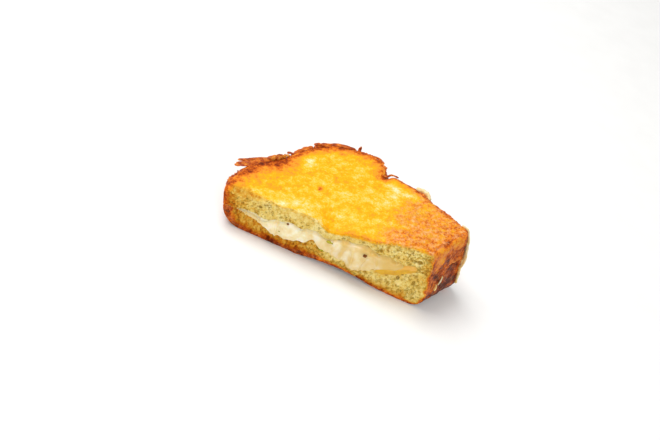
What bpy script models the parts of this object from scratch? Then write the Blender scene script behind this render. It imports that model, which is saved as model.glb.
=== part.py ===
"""Half of a griddled melt: two slices of pan loaf with a white and a yellow cheese layer.

The sandwich was cut from its base to the far shoulder of its crown. The half stands on its
lower slice: X runs along the cut, Y into the bread, Z up. Sizes below are in millimetres,
and the finished meshes are scaled to metres.
"""
import math
import random

import bmesh
import bpy
import numpy as np
from mathutils import Matrix

MM = 0.001
GAP = 0.45                    # clearance kept between touching pieces
MIDDLE = (86.6, 45.8)         # the place under the middle of the half, made the origin

# The loaf's outline, in the slice's own frame: u runs along the base from its right
# corner, v runs up the side from the base.
CUT_BASE_U = 40.0             # where the knife crossed the base
CUT_ANGLE = math.radians(31.7)  # between the cut and the loaf's straight side
CUT_LENGTH = 151.0
BASE_DROOP = 4.3
CORNER_DROOP = 1.5
CORNER_RADIUS = 6.0
SIDE_BULGE = 2.6
NOTCH_V = 76.0                # the fold between the straight side and the crown
NOTCH_DEPTH = 8.5
NOTCH_HALF = 4.0
EAR_V = 91.0
EAR_REACH = 4.5               # how far the crown overhangs the side
CROWN_HALF = 69.5
CROWN_RISE = 44.5
CROWN_POWER = 2.5
CROWN_LEAN = 4.5
DENT_U = 50.0
DENT_WIDTH = 16.0
DENT_DEPTH = 5.0
SWELLS = ((0.105, 0.13, 1.5), (0.262, 0.07, 2.2), (0.43, 0.06, -1.8), (0.68, 0.07, 2.5),
          (0.858, 0.06, 1.2))  # share of the crust's run, reach, size

# Heights of the half as it stands.
TOP_LEFT = 28.4
TOP_SLOPE = 0.145             # pressed thin at the crown end, thick at the base end
TOP_SWELL = 0.6
SEAM_LEFT = 14.8
SEAM_SLOPE = 0.125
LEAN_LEFT = 0.27              # each lower level sits a little further along the cut
LEAN_RIGHT = 0.19
PRESS_FADE = 13.0             # how far the knife's press reaches into the top
PRESSES = ((79.0, 12.0, 7.0), (106.0, 16.0, 5.0))  # place, half width, depth
SEAM_DROP = 3.0               # the filling slopes down again at the base end
SEAM_DROP_SPAN = (114.0, 130.0)
ARCH_START = 54.0
ARCH_END = 118.0
ARCH_HEIGHT = 3.2
ARCH_BACK = 0.45              # share of the arch that is left at the back

# Crust rounding of each slice: at its griddled face and at the face on the cheese.
TOP_RIM = 3.2
BOTTOM_RIM = 12.5
SEAM_RIM = 2.6
RIM_STEPS = 3

# The filling.
FILL_LEFT = 7.4
FILL_RIGHT = 12.2
FILL_START = 0.03             # shares of the cut where the filling starts and is full
FILL_FULL = 0.26
FILL_THINS = 0.78
FILL_END = 0.95
FILL_BACK = (0.7, 1.0)        # shares of the depth where it thins towards the crust
CHEESE_DEPTH = 0.86           # share of the depth that the cheese fills
WHITE_SHARES = (0.10, 0.895)  # shares of the cut between which each cheese shows
YELLOW_SHARES = (0.75, 0.89)
YELLOW_PART = 0.34            # share of the filling that is yellow there
WHITE_BULGE = 1.8             # how far each cheese swells out of the cut
YELLOW_BULGE = 1.2
DRIP_BULGE = 2.0
FRONT_ROUNDING = 3.6          # a thinner layer is rounded less
DRIPS = ((101.0, 15.0, 5.2), (87.0, 9.0, 1.0), (46.0, 14.0, 0.8))  # place, reach, length
LIPS = ((100.0, 18.0, 3.8), (49.0, 9.0, 1.6), (66.0, 8.0, 1.0))  # place, reach, height
PEPPER_BITS = ((62.0, 0.1, 1.2), (104.0, 0.15, 1.1), (113.0, 0.3, 1.5))  # place, drop, size

# Lacy griddled cheese on the crust's upper edge. Each strip runs through points given by
# their share of the crust's run, their reach outwards and their rise over the edge.
STRIP_THICKNESS = 1.2
STRIPS = (
    (2.6, (0.152, -3.5, -1.6), (0.135, 3.0, -0.8), (0.119, 9.4, -1.4)),
    (2.4, (0.130, -3.5, -2.0), (0.110, 1.5, -1.2), (0.092, 5.2, -1.0)),
    (3.4, (0.116, -1.0, -1.2), (0.150, 1.4, -0.6), (0.198, 1.3, -0.4)),
    (2.0, (0.155, 0.4, -1.5), (0.185, 2.2, -0.2), (0.222, 2.0, 0.8)),
    (1.8, (0.256, -3.0, -1.2), (0.249, 1.5, 0.2), (0.243, 4.2, 0.4)),
    (3.0, (0.262, -1.0, -1.6), (0.290, 1.0, -0.9), (0.322, 1.0, -0.7)),
    (2.8, (0.322, -1.4, -0.8), (0.345, 1.2, -0.1), (0.390, 1.3, 0.0), (0.437, 0.5, -0.3)),
    (2.0, (0.352, -1.0, 0.2), (0.340, 1.8, 0.9), (0.326, 2.4, 0.4)),
    (1.5, (0.446, -3.0, -2.0), (0.448, 0.3, 0.4), (0.450, 1.2, 3.0)),
    (2.4, (0.470, -1.6, -1.4), (0.500, 0.9, -0.9), (0.524, 0.8, -1.0)),
    (2.2, (0.530, -3.0, -1.2), (0.540, 1.3, -1.0)),
    (1.8, (0.578, -4.0, -0.8), (0.602, 0.4, 0.2), (0.621, 2.4, -0.2)),
)
STRAY_STRIPS = 12             # more strips at random places round the crown
STRAY_SHARES = (0.06, 0.56)
STRAY_RISE = (-8.0, -2.0)
FOOT_STRIPS = 8               # and on the lower slice's side
FOOT_SHARES = (0.08, 0.54)
FOOT_RISE = (8.0, 12.0)
BUBBLES = ((0.196, 0.8, 2.1), (0.203, 2.2, 1.7), (0.209, 0.6, 2.4), (0.215, 2.4, 2.2),
           (0.222, 1.0, 1.9), (0.228, 2.0, 1.5))  # share, reach, radius
BLISTER = (0.703, 1.4, (4.4, 3.2, 3.0))   # a pale blister on the straight side
CORNER_SHARE = 0.862          # melted cheese that ran out at the base corner
CORNER_UPPER = (0.6, 44.0, (3.0, 4.2, 6.6))
CORNER_LOWER = (0.4, 27.0, (3.0, 4.2, 6.4))  # reach, height, radii
RANDOM_SEED = 7
SHARP_ANGLE = math.radians(35.0)

DEPTH_STEPS = (0.0, 0.025, 0.07, 0.15, 0.28, 0.5, 0.75, 0.86, 0.94, 1.0)
COLOURS = {
    "bread_top": (0.94, 0.55, 0.07),
    "bread_bottom": (0.68, 0.38, 0.10),
    "cheese_white": (0.90, 0.78, 0.50),
    "cheese_yellow": (0.85, 0.40, 0.03),
}


def smooth(value):
    """Ease from 0 to 1 as the value runs from 0 to 1."""
    value = np.clip(value, 0.0, 1.0)
    return value * value * (3.0 - 2.0 * value)


def bell(value, centre, width):
    """A rounded hump of height 1."""
    return np.exp(-(((value - centre) / width) ** 2))


def hump(value, centre, reach):
    """A rounded hump of height 1 that ends at its reach on both sides."""
    return 0.5 + 0.5 * np.cos(math.pi * np.clip((value - centre) / reach, -1.0, 1.0))


def slice_to_half(points):
    """Turn points from the slice's own frame to the half's, where the cut is the X axis."""
    along_base = np.array([-math.sin(CUT_ANGLE), -math.cos(CUT_ANGLE)])
    up_side = np.array([-math.cos(CUT_ANGLE), math.sin(CUT_ANGLE)])
    offset = points - np.array([CUT_BASE_U, -BASE_DROOP])
    return np.array([CUT_LENGTH, 0.0]) + offset[:, :1] * along_base + offset[:, 1:] * up_side


def base_points(count=6):
    """The base crust from the cut to its corner, drooping a little at the cut."""
    u = np.linspace(CUT_BASE_U, CORNER_RADIUS, count)
    v = -CORNER_DROOP - (BASE_DROOP - CORNER_DROOP) * u / CUT_BASE_U
    return np.column_stack([u, v])


def corner_points(count=4):
    """The rounded corner between base and side."""
    turn = np.linspace(0.0, math.pi / 2, count + 1)[1:]
    arc = CORNER_RADIUS * np.column_stack([1.0 - np.sin(turn), 1.0 - np.cos(turn)])
    return arc - np.array([0.0, CORNER_DROOP])


def side_points(count=11):
    """The straight side, slightly bulged, up to the notch."""
    share = np.linspace(0.0, 1.0, count + 1)[1:]
    end = NOTCH_V - NOTCH_HALF
    v = CORNER_RADIUS + share * (end - CORNER_RADIUS)
    return np.column_stack([-SIDE_BULGE * np.sin(math.pi * share), v])


def notch_points():
    """The fold under the overhanging crown."""
    return np.array([
        [NOTCH_DEPTH * 0.45, NOTCH_V - NOTCH_HALF * 0.45],
        [NOTCH_DEPTH, NOTCH_V],
        [NOTCH_DEPTH * 0.45, NOTCH_V + NOTCH_HALF * 0.6],
        [-EAR_REACH * 0.25, NOTCH_V + NOTCH_HALF * 1.7],
    ])


def crown_points(count=40):
    """The domed crown, a superellipse with a dent, up to where the knife left it."""
    turn = np.linspace(0.0, math.pi, 600)
    across = np.sign(np.cos(turn)) * np.abs(np.cos(turn)) ** (2.0 / CROWN_POWER)
    u = CROWN_HALF - EAR_REACH - CROWN_HALF * across
    v = EAR_V + CROWN_RISE * np.sin(turn) ** (2.0 / CROWN_POWER)
    v -= CROWN_LEAN * across * np.sin(turn)
    v -= DENT_DEPTH * bell(u, DENT_U, DENT_WIDTH)
    half = slice_to_half(np.column_stack([u, v]))
    last = np.nonzero(half[:, 1] > 0.0)[0][-1]
    share = half[last, 1] / (half[last, 1] - half[last + 1, 1])
    end = half[last] + share * (half[last + 1] - half[last])
    half = np.vstack([half[:last + 1], end])
    length = np.concatenate([[0.0], np.cumsum(np.linalg.norm(np.diff(half, axis=0), axis=1))])
    stops = np.linspace(0.0, length[-1], count)
    return np.column_stack([np.interp(stops, length, half[:, i]) for i in (0, 1)])


def half_outline():
    """The crust line of the half, from the crown end of the cut round to the base end."""
    lower = np.vstack([base_points(), corner_points(), side_points(), notch_points()])
    outline = np.vstack([slice_to_half(lower), crown_points()])[::-1]
    outline[0, 1] = 0.0
    outline[-1, 1] = 0.0
    run = np.concatenate([[0.0], np.cumsum(np.linalg.norm(np.diff(outline, axis=0), axis=1))])
    swell = sum(size * hump(run / run[-1], share, reach) for share, reach, size in SWELLS)
    return outline + swell[:, None] * outward(outline)


def outward(outline):
    """Unit normals that point out of the half, along the cut at its two ends."""
    along = np.gradient(outline, axis=0)
    normal = np.column_stack([-along[:, 1], along[:, 0]])
    for _ in range(2):
        normal[1:-1] = normal[:-2] + 2.0 * normal[1:-1] + normal[2:]
    normal[0] = (-1.0, 0.0)
    normal[-1] = (1.0, 0.0)
    return normal / np.linalg.norm(normal, axis=1)[:, None]


OUTLINE = half_outline()
OUTWARD = outward(OUTLINE)
RUN = np.concatenate([[0.0], np.cumsum(np.linalg.norm(np.diff(OUTLINE, axis=0), axis=1))])
SHARE = RUN / RUN[-1]         # share of the cut that each section starts from


def plan_points(inset, depth):
    """Plan points of all sections at one depth share, inside the outline by the inset."""
    rim = OUTLINE - inset * OUTWARD
    front = rim[0] + SHARE[:, None] * (rim[-1] - rim[0])
    return front + depth * (rim - front)


def top_height(x, y):
    """The griddled top: a tilted plane, pressed down where the knife went through."""
    press = sum(depth * bell(x, place, width) for place, width, depth in PRESSES)
    swell = TOP_SWELL * np.sin(x / 17.0 + 1.0) * np.cos(y / 21.0)
    return TOP_LEFT + TOP_SLOPE * x + swell - press * np.exp(-((y / PRESS_FADE) ** 2))


def bottom_height(x, y):
    """The griddled underside: it stands on both ends and arches between them."""
    share = np.clip((x - ARCH_START) / (ARCH_END - ARCH_START), 0.0, 1.0)
    back = 1.0 - (1.0 - ARCH_BACK) * smooth(y / 80.0)
    return ARCH_HEIGHT * back * np.sin(math.pi * share)


def seam_height(x):
    """The underside of the upper slice."""
    start, end = SEAM_DROP_SPAN
    drop = SEAM_DROP * smooth((x - start) / (end - start))
    return SEAM_LEFT + SEAM_SLOPE * x + 0.5 * np.sin(x / 9.0) - drop


def fill_thickness(depth):
    """The room between the slices of each section at one depth share."""
    along = smooth((SHARE - FILL_START) / (FILL_FULL - FILL_START))
    along = along * (1.0 - smooth((SHARE - FILL_THINS) / (FILL_END - FILL_THINS)))
    start, end = FILL_BACK
    inwards = 1.0 - smooth((depth - start) / (end - start))
    return GAP + (FILL_LEFT + (FILL_RIGHT - FILL_LEFT) * SHARE) * along * inwards


def place(plan, height):
    """Points at a plan place and height, leaned along the cut by their depth below the top."""
    x, y = plan[:, 0], plan[:, 1]
    below = TOP_LEFT + TOP_SLOPE * x - height
    lean = LEAN_LEFT + (LEAN_RIGHT - LEAN_LEFT) * np.clip(x / CUT_LENGTH, 0.0, 1.0)
    return np.column_stack([x + lean * below, y, height])


def closed_loft(rings, name, caps=False):
    """A closed mesh through rings of points, shape (ring points, sections, 3)."""
    count, sections, _ = rings.shape
    mesh = bpy.data.meshes.new(name)
    shell = bmesh.new()
    verts = [[shell.verts.new(point * MM) for point in ring] for ring in rings]
    for i in range(count):
        following = verts[(i + 1) % count]
        for k in range(sections - 1):
            shell.faces.new([verts[i][k], following[k], following[k + 1], verts[i][k + 1]])
    if caps:
        shell.faces.new([ring[0] for ring in verts])
        shell.faces.new([ring[-1] for ring in reversed(verts)])
    bmesh.ops.remove_doubles(shell, verts=shell.verts, dist=0.02 * MM)
    bmesh.ops.triangulate(shell, faces=shell.faces)
    bmesh.ops.recalc_face_normals(shell, faces=shell.faces)
    shell.to_mesh(mesh)
    shell.free()
    return mesh


def slice_rings(upper, lower, upper_rim, lower_rim):
    """Rings of one slice between two faces, each a function of depth share and inset."""
    turns = np.linspace(0.0, math.pi / 2, RIM_STEPS + 1)
    rings = [place(*upper(depth, upper_rim)) for depth in DEPTH_STEPS]
    wall = []
    for turn in turns[1:]:
        inset = upper_rim * (1.0 - math.sin(turn))
        wall.append((inset, upper, upper_rim * (math.cos(turn) - 1.0)))
    for turn in turns[::-1][:-1]:
        inset = lower_rim * (1.0 - math.sin(turn))
        wall.append((inset, lower, lower_rim * (1.0 - math.cos(turn))))

    def wall_ring(level, depth):
        inset, face, rise = level
        plan, height = face(depth, inset)
        return place(plan, height + rise)

    rings += [wall_ring(level, 1.0) for level in wall]
    rings += [place(*lower(depth, lower_rim)) for depth in reversed(DEPTH_STEPS)]
    rings += [wall_ring(level, 0.0) for level in reversed(wall)]
    return np.array(rings)


def top_face(depth, inset):
    """The griddled top of the half."""
    plan = plan_points(inset, depth)
    return plan, top_height(plan[:, 0], plan[:, 1])


def seam_face(depth, inset):
    """The upper slice's face on the filling."""
    plan = plan_points(inset, depth)
    return plan, seam_height(plan[:, 0])


def lower_seam_face(depth, inset):
    """The lower slice's face under the filling."""
    plan = plan_points(inset, depth)
    return plan, seam_height(plan[:, 0]) - fill_thickness(depth)


def bottom_face(depth, inset):
    """The griddled underside of the half."""
    plan = plan_points(inset, depth)
    return plan, bottom_height(plan[:, 0], plan[:, 1])


def between(shares):
    """The sections whose place along the cut lies between two shares."""
    return np.nonzero((SHARE >= shares[0]) & (SHARE <= shares[1]))[0]


def yellow_height(depth):
    """Thickness of the yellow layer, none outside its own sections."""
    inside = np.zeros(len(SHARE))
    inside[between(YELLOW_SHARES)] = 1.0
    return inside * YELLOW_PART * (fill_thickness(depth) - 3.0 * GAP)


def layer_ring(depth, height):
    """A ring of points of a layer in the seam, at a height over the lower slice's face."""
    plan, floor = lower_seam_face(depth, SEAM_RIM)
    return place(plan, floor + height)


def front_ring(ring, forward, rise):
    """A ring on the cut moved forward, out of the cut, and up."""
    moved = ring.copy()
    moved[:, 1] -= forward
    moved[:, 2] += rise
    return moved


def layer_rings(under, over, bulge, drip, lip):
    """Rings round a cheese layer: along its back, over it, down its swollen front, back under."""
    depths = [depth for depth in DEPTH_STEPS if depth <= CHEESE_DEPTH]
    rings = [layer_ring(depth, over(depth)) for depth in reversed(depths)]
    upper, lower = rings[-1], layer_ring(0.0, under(0.0))
    middle = 0.5 * (upper + lower)
    rounding = 0.25 * np.minimum(upper[:, 2] - lower[:, 2], FRONT_ROUNDING)
    rings.append(front_ring(upper, 0.5 + 0.3 * bulge, 0.8 * lip))
    rings.append(front_ring(upper, 0.5 + 0.75 * bulge, lip - 0.7 * rounding))
    rings.append(front_ring(middle, 0.5 + bulge, 0.2 * lip - 0.3 * drip))
    rings.append(front_ring(lower, 0.5 + bulge, rounding - 0.75 * drip))
    rings.append(front_ring(lower, 0.5 + 0.7 * bulge, -drip))
    rings.append(front_ring(lower, 0.5 + 0.1 * bulge, -0.9 * drip))
    rings += [layer_ring(depth, under(depth)) for depth in depths]
    return np.array(rings)


def rim_point(share, reach, rise):
    """A place near the crust's upper edge."""
    x, y = (np.interp(share, SHARE, OUTLINE[:, i] + reach * OUTWARD[:, i]) for i in (0, 1))
    return place(np.array([[x, y]]), top_height(x, y) + rise)[0]


def foot_point(share, reach, rise):
    """A place near the lower slice's edge, at a height over the ground."""
    x, y = (np.interp(share, SHARE, OUTLINE[:, i] + reach * OUTWARD[:, i]) for i in (0, 1))
    return place(np.array([[x, y]]), bottom_height(x, y) + rise)[0]


def strip_mesh(path, width):
    """A thin flat strip with square ends along a path."""
    path = np.array(path)
    along = np.gradient(path, axis=0)
    along /= np.linalg.norm(along, axis=1)[:, None]
    across = np.cross(along, (0.15, 0.1, 1.0))
    across /= np.linalg.norm(across, axis=1)[:, None]
    up = np.cross(across, along)
    half = (0.5 * width * across, 0.5 * STRIP_THICKNESS * up)
    corners = ((1.0, 1.0), (-1.0, 1.0), (-1.0, -1.0), (1.0, -1.0))
    rings = np.array([path + a * half[0] + b * half[1] for a, b in corners])
    return closed_loft(rings, "strip", caps=True)


def ball_mesh(centre, radii):
    """A coarse ball, stretched to its radii and placed."""
    mesh = bpy.data.meshes.new("ball")
    ball = bmesh.new()
    bmesh.ops.create_icosphere(ball, subdivisions=2 if max(radii) > 2.6 else 1, radius=1.0)
    for vert in ball.verts:
        vert.co = [(c + r * v) * MM for c, r, v in zip(centre, radii, vert.co)]
    ball.to_mesh(mesh)
    ball.free()
    return mesh


def even_path(points, steps=5):
    """Evenly shared places along a chain of points."""
    points = np.array(points)
    stops = np.linspace(0.0, len(points) - 1.0, steps)
    knots = np.arange(len(points))
    return np.column_stack([np.interp(stops, knots, points[:, i]) for i in range(3)])


def fuse(base, meshes, solver="EXACT"):
    """Join loose relief meshes to their base with one Boolean union, which is applied."""
    relief = bpy.data.collections.new("relief")
    bpy.context.scene.collection.children.link(relief)
    for mesh in meshes:
        relief.objects.link(bpy.data.objects.new("relief", mesh))
    union = base.modifiers.new("union", "BOOLEAN")
    union.operation = "UNION"
    union.operand_type = "COLLECTION"
    union.collection = relief
    union.solver = solver
    evaluated = base.evaluated_get(bpy.context.evaluated_depsgraph_get())
    joined = bpy.data.meshes.new_from_object(evaluated)
    base.modifiers.clear()
    base.data = joined
    for item in list(relief.objects):
        bpy.data.objects.remove(item)
    bpy.data.collections.remove(relief)


def part_object(name, mesh, parts):
    """An object in the parts collection with its own material."""
    item = bpy.data.objects.new(name, mesh)
    parts.objects.link(item)
    material = bpy.data.materials.new(name)
    material.use_nodes = True
    shader = material.node_tree.nodes["Principled BSDF"]
    shader.inputs["Base Color"].default_value = (*COLOURS[name], 1.0)
    shader.inputs["Roughness"].default_value = 0.45
    shader.inputs["Metallic"].default_value = 0.0
    mesh.materials.append(material)
    return item


def lace(draw):
    """Strips, bubbles and the blister of griddled cheese round the upper slice."""
    meshes = []
    for width, *points in STRIPS:
        meshes.append(strip_mesh(even_path([rim_point(*point) for point in points]), width))
    for _ in range(STRAY_STRIPS):
        share = draw.uniform(*STRAY_SHARES)
        rise = draw.uniform(*STRAY_RISE)
        tip = (share + draw.uniform(-0.02, 0.02), draw.uniform(1.4, 3.2), rise - 1.0)
        path = even_path([rim_point(share, -2.5, rise), rim_point(*tip)], steps=4)
        meshes.append(strip_mesh(path, draw.uniform(1.5, 2.4)))
    for share, reach, radius in BUBBLES:
        meshes.append(ball_mesh(rim_point(share, reach, 0.4), (radius, radius, radius)))
    share, reach, radii = BLISTER
    meshes.append(ball_mesh(rim_point(share, reach, -0.6), radii))
    meshes.append(corner_run(*CORNER_UPPER))
    return meshes


def corner_run(reach, height, radii):
    """A lump of melted cheese down the base corner of one slice."""
    x, y, _ = rim_point(CORNER_SHARE, reach, 0.0)
    return ball_mesh(place(np.array([[x, y]]), height)[0], radii)


def foot_lace(draw):
    """Short strips on the lower slice's side, and the run of cheese at its corner."""
    meshes = [corner_run(*CORNER_LOWER)]
    for _ in range(FOOT_STRIPS):
        share = draw.uniform(*FOOT_SHARES)
        rise = draw.uniform(*FOOT_RISE)
        tip = (share + draw.uniform(-0.015, 0.015), draw.uniform(1.2, 2.4), rise - 1.5)
        path = even_path([foot_point(share, -2.5, rise), foot_point(*tip)], steps=4)
        meshes.append(strip_mesh(path, draw.uniform(1.6, 2.4)))
    return meshes


def bread_top(parts):
    """The upper slice with the lacy cheese on its crust."""
    rings = slice_rings(top_face, seam_face, TOP_RIM, SEAM_RIM)
    item = part_object("bread_top", closed_loft(rings, "bread_top"), parts)
    fuse(item, lace(random.Random(RANDOM_SEED)))
    return item


def bread_bottom(parts):
    """The lower slice, rounded where it was pressed on the griddle."""
    rings = slice_rings(lower_seam_face, bottom_face, SEAM_RIM, BOTTOM_RIM)
    item = part_object("bread_bottom", closed_loft(rings, "bread_bottom"), parts)
    fuse(item, foot_lace(random.Random(RANDOM_SEED)), "MANIFOLD")
    return item


def front_sum(shapes):
    """Summed humps along the cut, each with a place, a reach and a size."""
    x = place(plan_points(SEAM_RIM, 0.0), seam_height(plan_points(SEAM_RIM, 0.0)[:, 0]))[:, 0]
    return sum(size * hump(x, centre, reach) for centre, reach, size in shapes)


def cheese_white(parts):
    """The white melt, which swells out of the cut and drips over the lower slice."""
    def under(depth):
        layer = yellow_height(depth)
        return GAP + layer + GAP * (layer > 0.0)

    def over(depth):
        return fill_thickness(depth) - GAP

    drip = front_sum(DRIPS)
    bulge = WHITE_BULGE + DRIP_BULGE * np.clip(drip / DRIPS[0][2], 0.0, 1.0)
    taper = smooth((SHARE - WHITE_SHARES[0]) / 0.08) * smooth((WHITE_SHARES[1] - SHARE) / 0.12)
    rings = layer_rings(under, over, bulge * (0.3 + 0.7 * taper), drip, front_sum(LIPS))
    shown = rings[:, between(WHITE_SHARES)]
    item = part_object("cheese_white", closed_loft(shown, "cheese_white", caps=True), parts)
    fuse(item, [pepper_bit(shown, *bit) for bit in PEPPER_BITS])
    return item


def pepper_bit(rings, x, drop, radius):
    """A crumb of pepper set in the front of the cheese, a share of the way down it."""
    front = rings[np.argmin(rings[:, :, 1].mean(axis=1))]
    top = np.interp(x, front[:, 0], rings[:, :, 2].max(axis=0))
    foot = np.interp(x, front[:, 0], rings[:, :, 2].min(axis=0))
    y = np.interp(x, front[:, 0], front[:, 1])
    return ball_mesh((x, y + 0.4 * radius, top + drop * (foot - top) - radius), [radius] * 3)


def cheese_yellow(parts):
    """The yellow slice under the white melt, at the base end."""
    def under(depth):
        return GAP * np.ones(len(SHARE))

    def over(depth):
        return GAP + yellow_height(depth)

    flat = np.zeros(len(SHARE))
    rings = layer_rings(under, over, YELLOW_BULGE + flat, flat, flat)
    shown = rings[:, between(YELLOW_SHARES)]
    return part_object("cheese_yellow", closed_loft(shown, "cheese_yellow", caps=True), parts)


def main():
    """Build the half from nothing."""
    for item in list(bpy.data.objects):
        bpy.data.objects.remove(item)
    parts = bpy.data.collections.new("cheese_melt_half")
    bpy.context.scene.collection.children.link(parts)
    bread_top(parts)
    bread_bottom(parts)
    cheese_white(parts)
    cheese_yellow(parts)
    for item in parts.objects:
        item.data.transform(Matrix.Translation((-MIDDLE[0] * MM, -MIDDLE[1] * MM, 0.0)))
        item.data.shade_smooth()
        item.data.set_sharp_from_angle(angle=SHARP_ANGLE)


main()
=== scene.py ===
# %% [markdown]
# # Half of a griddled cheese melt
# The object is one half of a toasted sandwich: two slices of pan loaf, buttered and browned on a
# griddle, with a white and a yellow cheese melted between them. The knife went from the base of the
# loaf to the far shoulder of its crown, so the cut face shows crumb, cheese and crumb.
# Every shape below is a formula on a grid of points, in millimetres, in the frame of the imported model:
# X runs along the cut, Y goes into the bread and Z is up.

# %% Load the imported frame
import math
import random

import bpy
import numpy as np
from mathutils import Matrix


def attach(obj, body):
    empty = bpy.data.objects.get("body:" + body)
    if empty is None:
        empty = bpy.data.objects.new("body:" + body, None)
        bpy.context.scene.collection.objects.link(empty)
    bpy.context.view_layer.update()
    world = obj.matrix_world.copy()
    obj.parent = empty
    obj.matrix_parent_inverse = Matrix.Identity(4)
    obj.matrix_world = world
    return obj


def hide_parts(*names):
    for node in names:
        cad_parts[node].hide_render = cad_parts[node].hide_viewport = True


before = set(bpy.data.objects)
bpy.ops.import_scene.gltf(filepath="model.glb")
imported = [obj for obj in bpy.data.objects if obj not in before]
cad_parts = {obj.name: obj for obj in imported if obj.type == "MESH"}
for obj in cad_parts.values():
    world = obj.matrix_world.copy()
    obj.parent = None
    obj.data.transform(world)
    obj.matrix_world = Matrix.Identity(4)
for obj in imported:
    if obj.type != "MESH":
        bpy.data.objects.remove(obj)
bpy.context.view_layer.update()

# %% [markdown]
# ## The camera
# A long lens a metre away keeps the sandwich's lines nearly parallel. A served half leans on its other
# half. This one lies flat, and the camera rolls instead. Its axes come from three plain angles, and the
# aim sits a little beside the sandwich.

# %% Camera
MM = 0.001
LENS = 74.7                   # mm, on a 36 mm wide sensor
DISTANCE = 945.0
ELEVATION = math.radians(37.62)
AZIMUTH = math.radians(-2.35)
ROLL = math.radians(25.41)
LOOK_AT = np.array([-2.0, -42.1, 40.7])
AIM_SHIFT = (-10.3, 1.4)      # where the lens points, beside and over the place looked at


def camera_axes():
    """Right, up and backward: backward from elevation and azimuth, the other two turned by the roll."""
    back = np.array([math.cos(ELEVATION) * math.sin(AZIMUTH),
                     -math.cos(ELEVATION) * math.cos(AZIMUTH), math.sin(ELEVATION)])
    level = np.array([math.cos(AZIMUTH), math.sin(AZIMUTH), 0.0])
    rise = np.cross(back, level)
    right = level * math.cos(ROLL) + rise * math.sin(ROLL)
    return right, rise * math.cos(ROLL) - level * math.sin(ROLL), back


right, up, back = camera_axes()
stand = LOOK_AT + DISTANCE * back
back = stand - (LOOK_AT + AIM_SHIFT[0] * right + AIM_SHIFT[1] * up)
back /= np.linalg.norm(back)
right = np.cross(up, back) / np.linalg.norm(np.cross(up, back))
axes = Matrix(np.column_stack([right, np.cross(back, right), back]))
camera = bpy.data.objects.new("camera", bpy.data.cameras.new("camera"))
camera.data.lens = LENS
camera.matrix_world = Matrix.Translation(stand * MM) @ axes.to_4x4()
bpy.context.scene.collection.objects.link(camera)
bpy.context.scene.camera = camera
print("camera at, mm:", np.round(stand, 1))

# %% [markdown]
# ## Nodes and colours
# Colours are written as sRGB hex values, as a designer picks them, and one function turns them to the
# linear values that the shader adds up. One helper adds a node, sets it up and links it, so a material
# reads from top to bottom like a recipe.


# %% Helpers for materials
def linear(hex_colour):
    """Linear red, green, blue, alpha of an sRGB hex value, by the sRGB curve."""
    parts = [int(hex_colour[i:i + 2], 16) / 255.0 for i in (1, 3, 5)]
    return (*[c / 12.92 if c <= 0.04045 else ((c + 0.055) / 1.055) ** 2.4 for c in parts], 1.0)


def add_node(tree, kind, inputs=(), stops=(), **settings):
    """Add a node; inputs pair a socket with a value or an output, and stops fill a colour ramp."""
    made = tree.nodes.new(kind)
    for name, value in settings.items():
        setattr(made, name, value)
    for socket, value in dict(inputs).items():
        if isinstance(value, bpy.types.NodeSocket):
            tree.links.new(value, made.inputs[socket])
        else:
            made.inputs[socket].default_value = value
    for i, (place, colour) in enumerate(stops):
        element = made.color_ramp.elements[i] if i < 2 else made.color_ramp.elements.new(place)
        element.position = place
        element.color = linear(colour)
    return made


def new_material(name):
    """An empty material with its Principled shader, its node tree and its Object coordinates."""
    material = bpy.data.materials.new(name)
    material.use_nodes = True
    tree = material.node_tree
    tree.nodes.clear()
    output = tree.nodes.new("ShaderNodeOutputMaterial")
    shader = tree.nodes.new("ShaderNodeBsdfPrincipled")
    tree.links.new(shader.outputs[0], output.inputs[0])
    place = tree.nodes.new("ShaderNodeTexCoord").outputs["Object"]
    return material, tree, shader, place


print("orange crust, linear:", [round(v, 3) for v in linear("#E5822A")])

# %% [markdown]
# ## The studio
# Food on white is lit by one big soft lamp overhead, a weaker one in front, and a bright room. The floor
# is a plain pale sheet that runs past every side of the view.

# %% Floor, lamps and room
FLOOR_HALF, FLOOR_HEIGHT = 3.0, -0.0002   # m, a hair under the bread
FIBRES_PER_METRE = 40.0
LAMPS = (                     # name, place in m, size in m, power in W
    ("key", (-0.55, 0.25, 1.15), 0.9, 12.5),
    ("front", (0.25, -1.25, 0.75), 1.1, 7.0),
)
ROOM_COLOUR, ROOM_STRENGTH = (1.0, 0.99, 0.97, 1.0), 0.52
corners = np.array([(-1, -1), (1, -1), (1, 1), (-1, 1)]) * FLOOR_HALF
sheet = bpy.data.meshes.new("floor")
sheet.from_pydata([(x, y, FLOOR_HEIGHT) for x, y in corners], [], [(0, 1, 2, 3)])
floor = bpy.data.objects.new("floor", sheet)
bpy.context.scene.collection.objects.link(floor)
paper, tree, shader, place = new_material("matt_white_paper")
fibres = add_node(tree, "ShaderNodeTexNoise", {"Vector": place, "Scale": FIBRES_PER_METRE})
tint = add_node(tree, "ShaderNodeValToRGB", {0: fibres.outputs[0]},
                stops=((0.3, "#F4F4F3"), (0.7, "#F7F7F6")))
tree.links.new(tint.outputs[0], shader.inputs["Base Color"])
shader.inputs["Roughness"].default_value = 0.9
sheet.materials.append(paper)

for name, spot, size, power in LAMPS:
    lamp = bpy.data.lights.new(name, "AREA")
    lamp.shape, lamp.size, lamp.energy = "DISK", size, power
    holder = bpy.data.objects.new(name, lamp)
    away = np.array(spot) / np.linalg.norm(spot)
    side = np.cross((0.0, 0.0, 1.0), away)
    side /= np.linalg.norm(side)
    turn = Matrix(np.column_stack([side, np.cross(away, side), away]))
    holder.matrix_world = Matrix.Translation(spot) @ turn.to_4x4()
    bpy.context.scene.collection.objects.link(holder)

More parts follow.
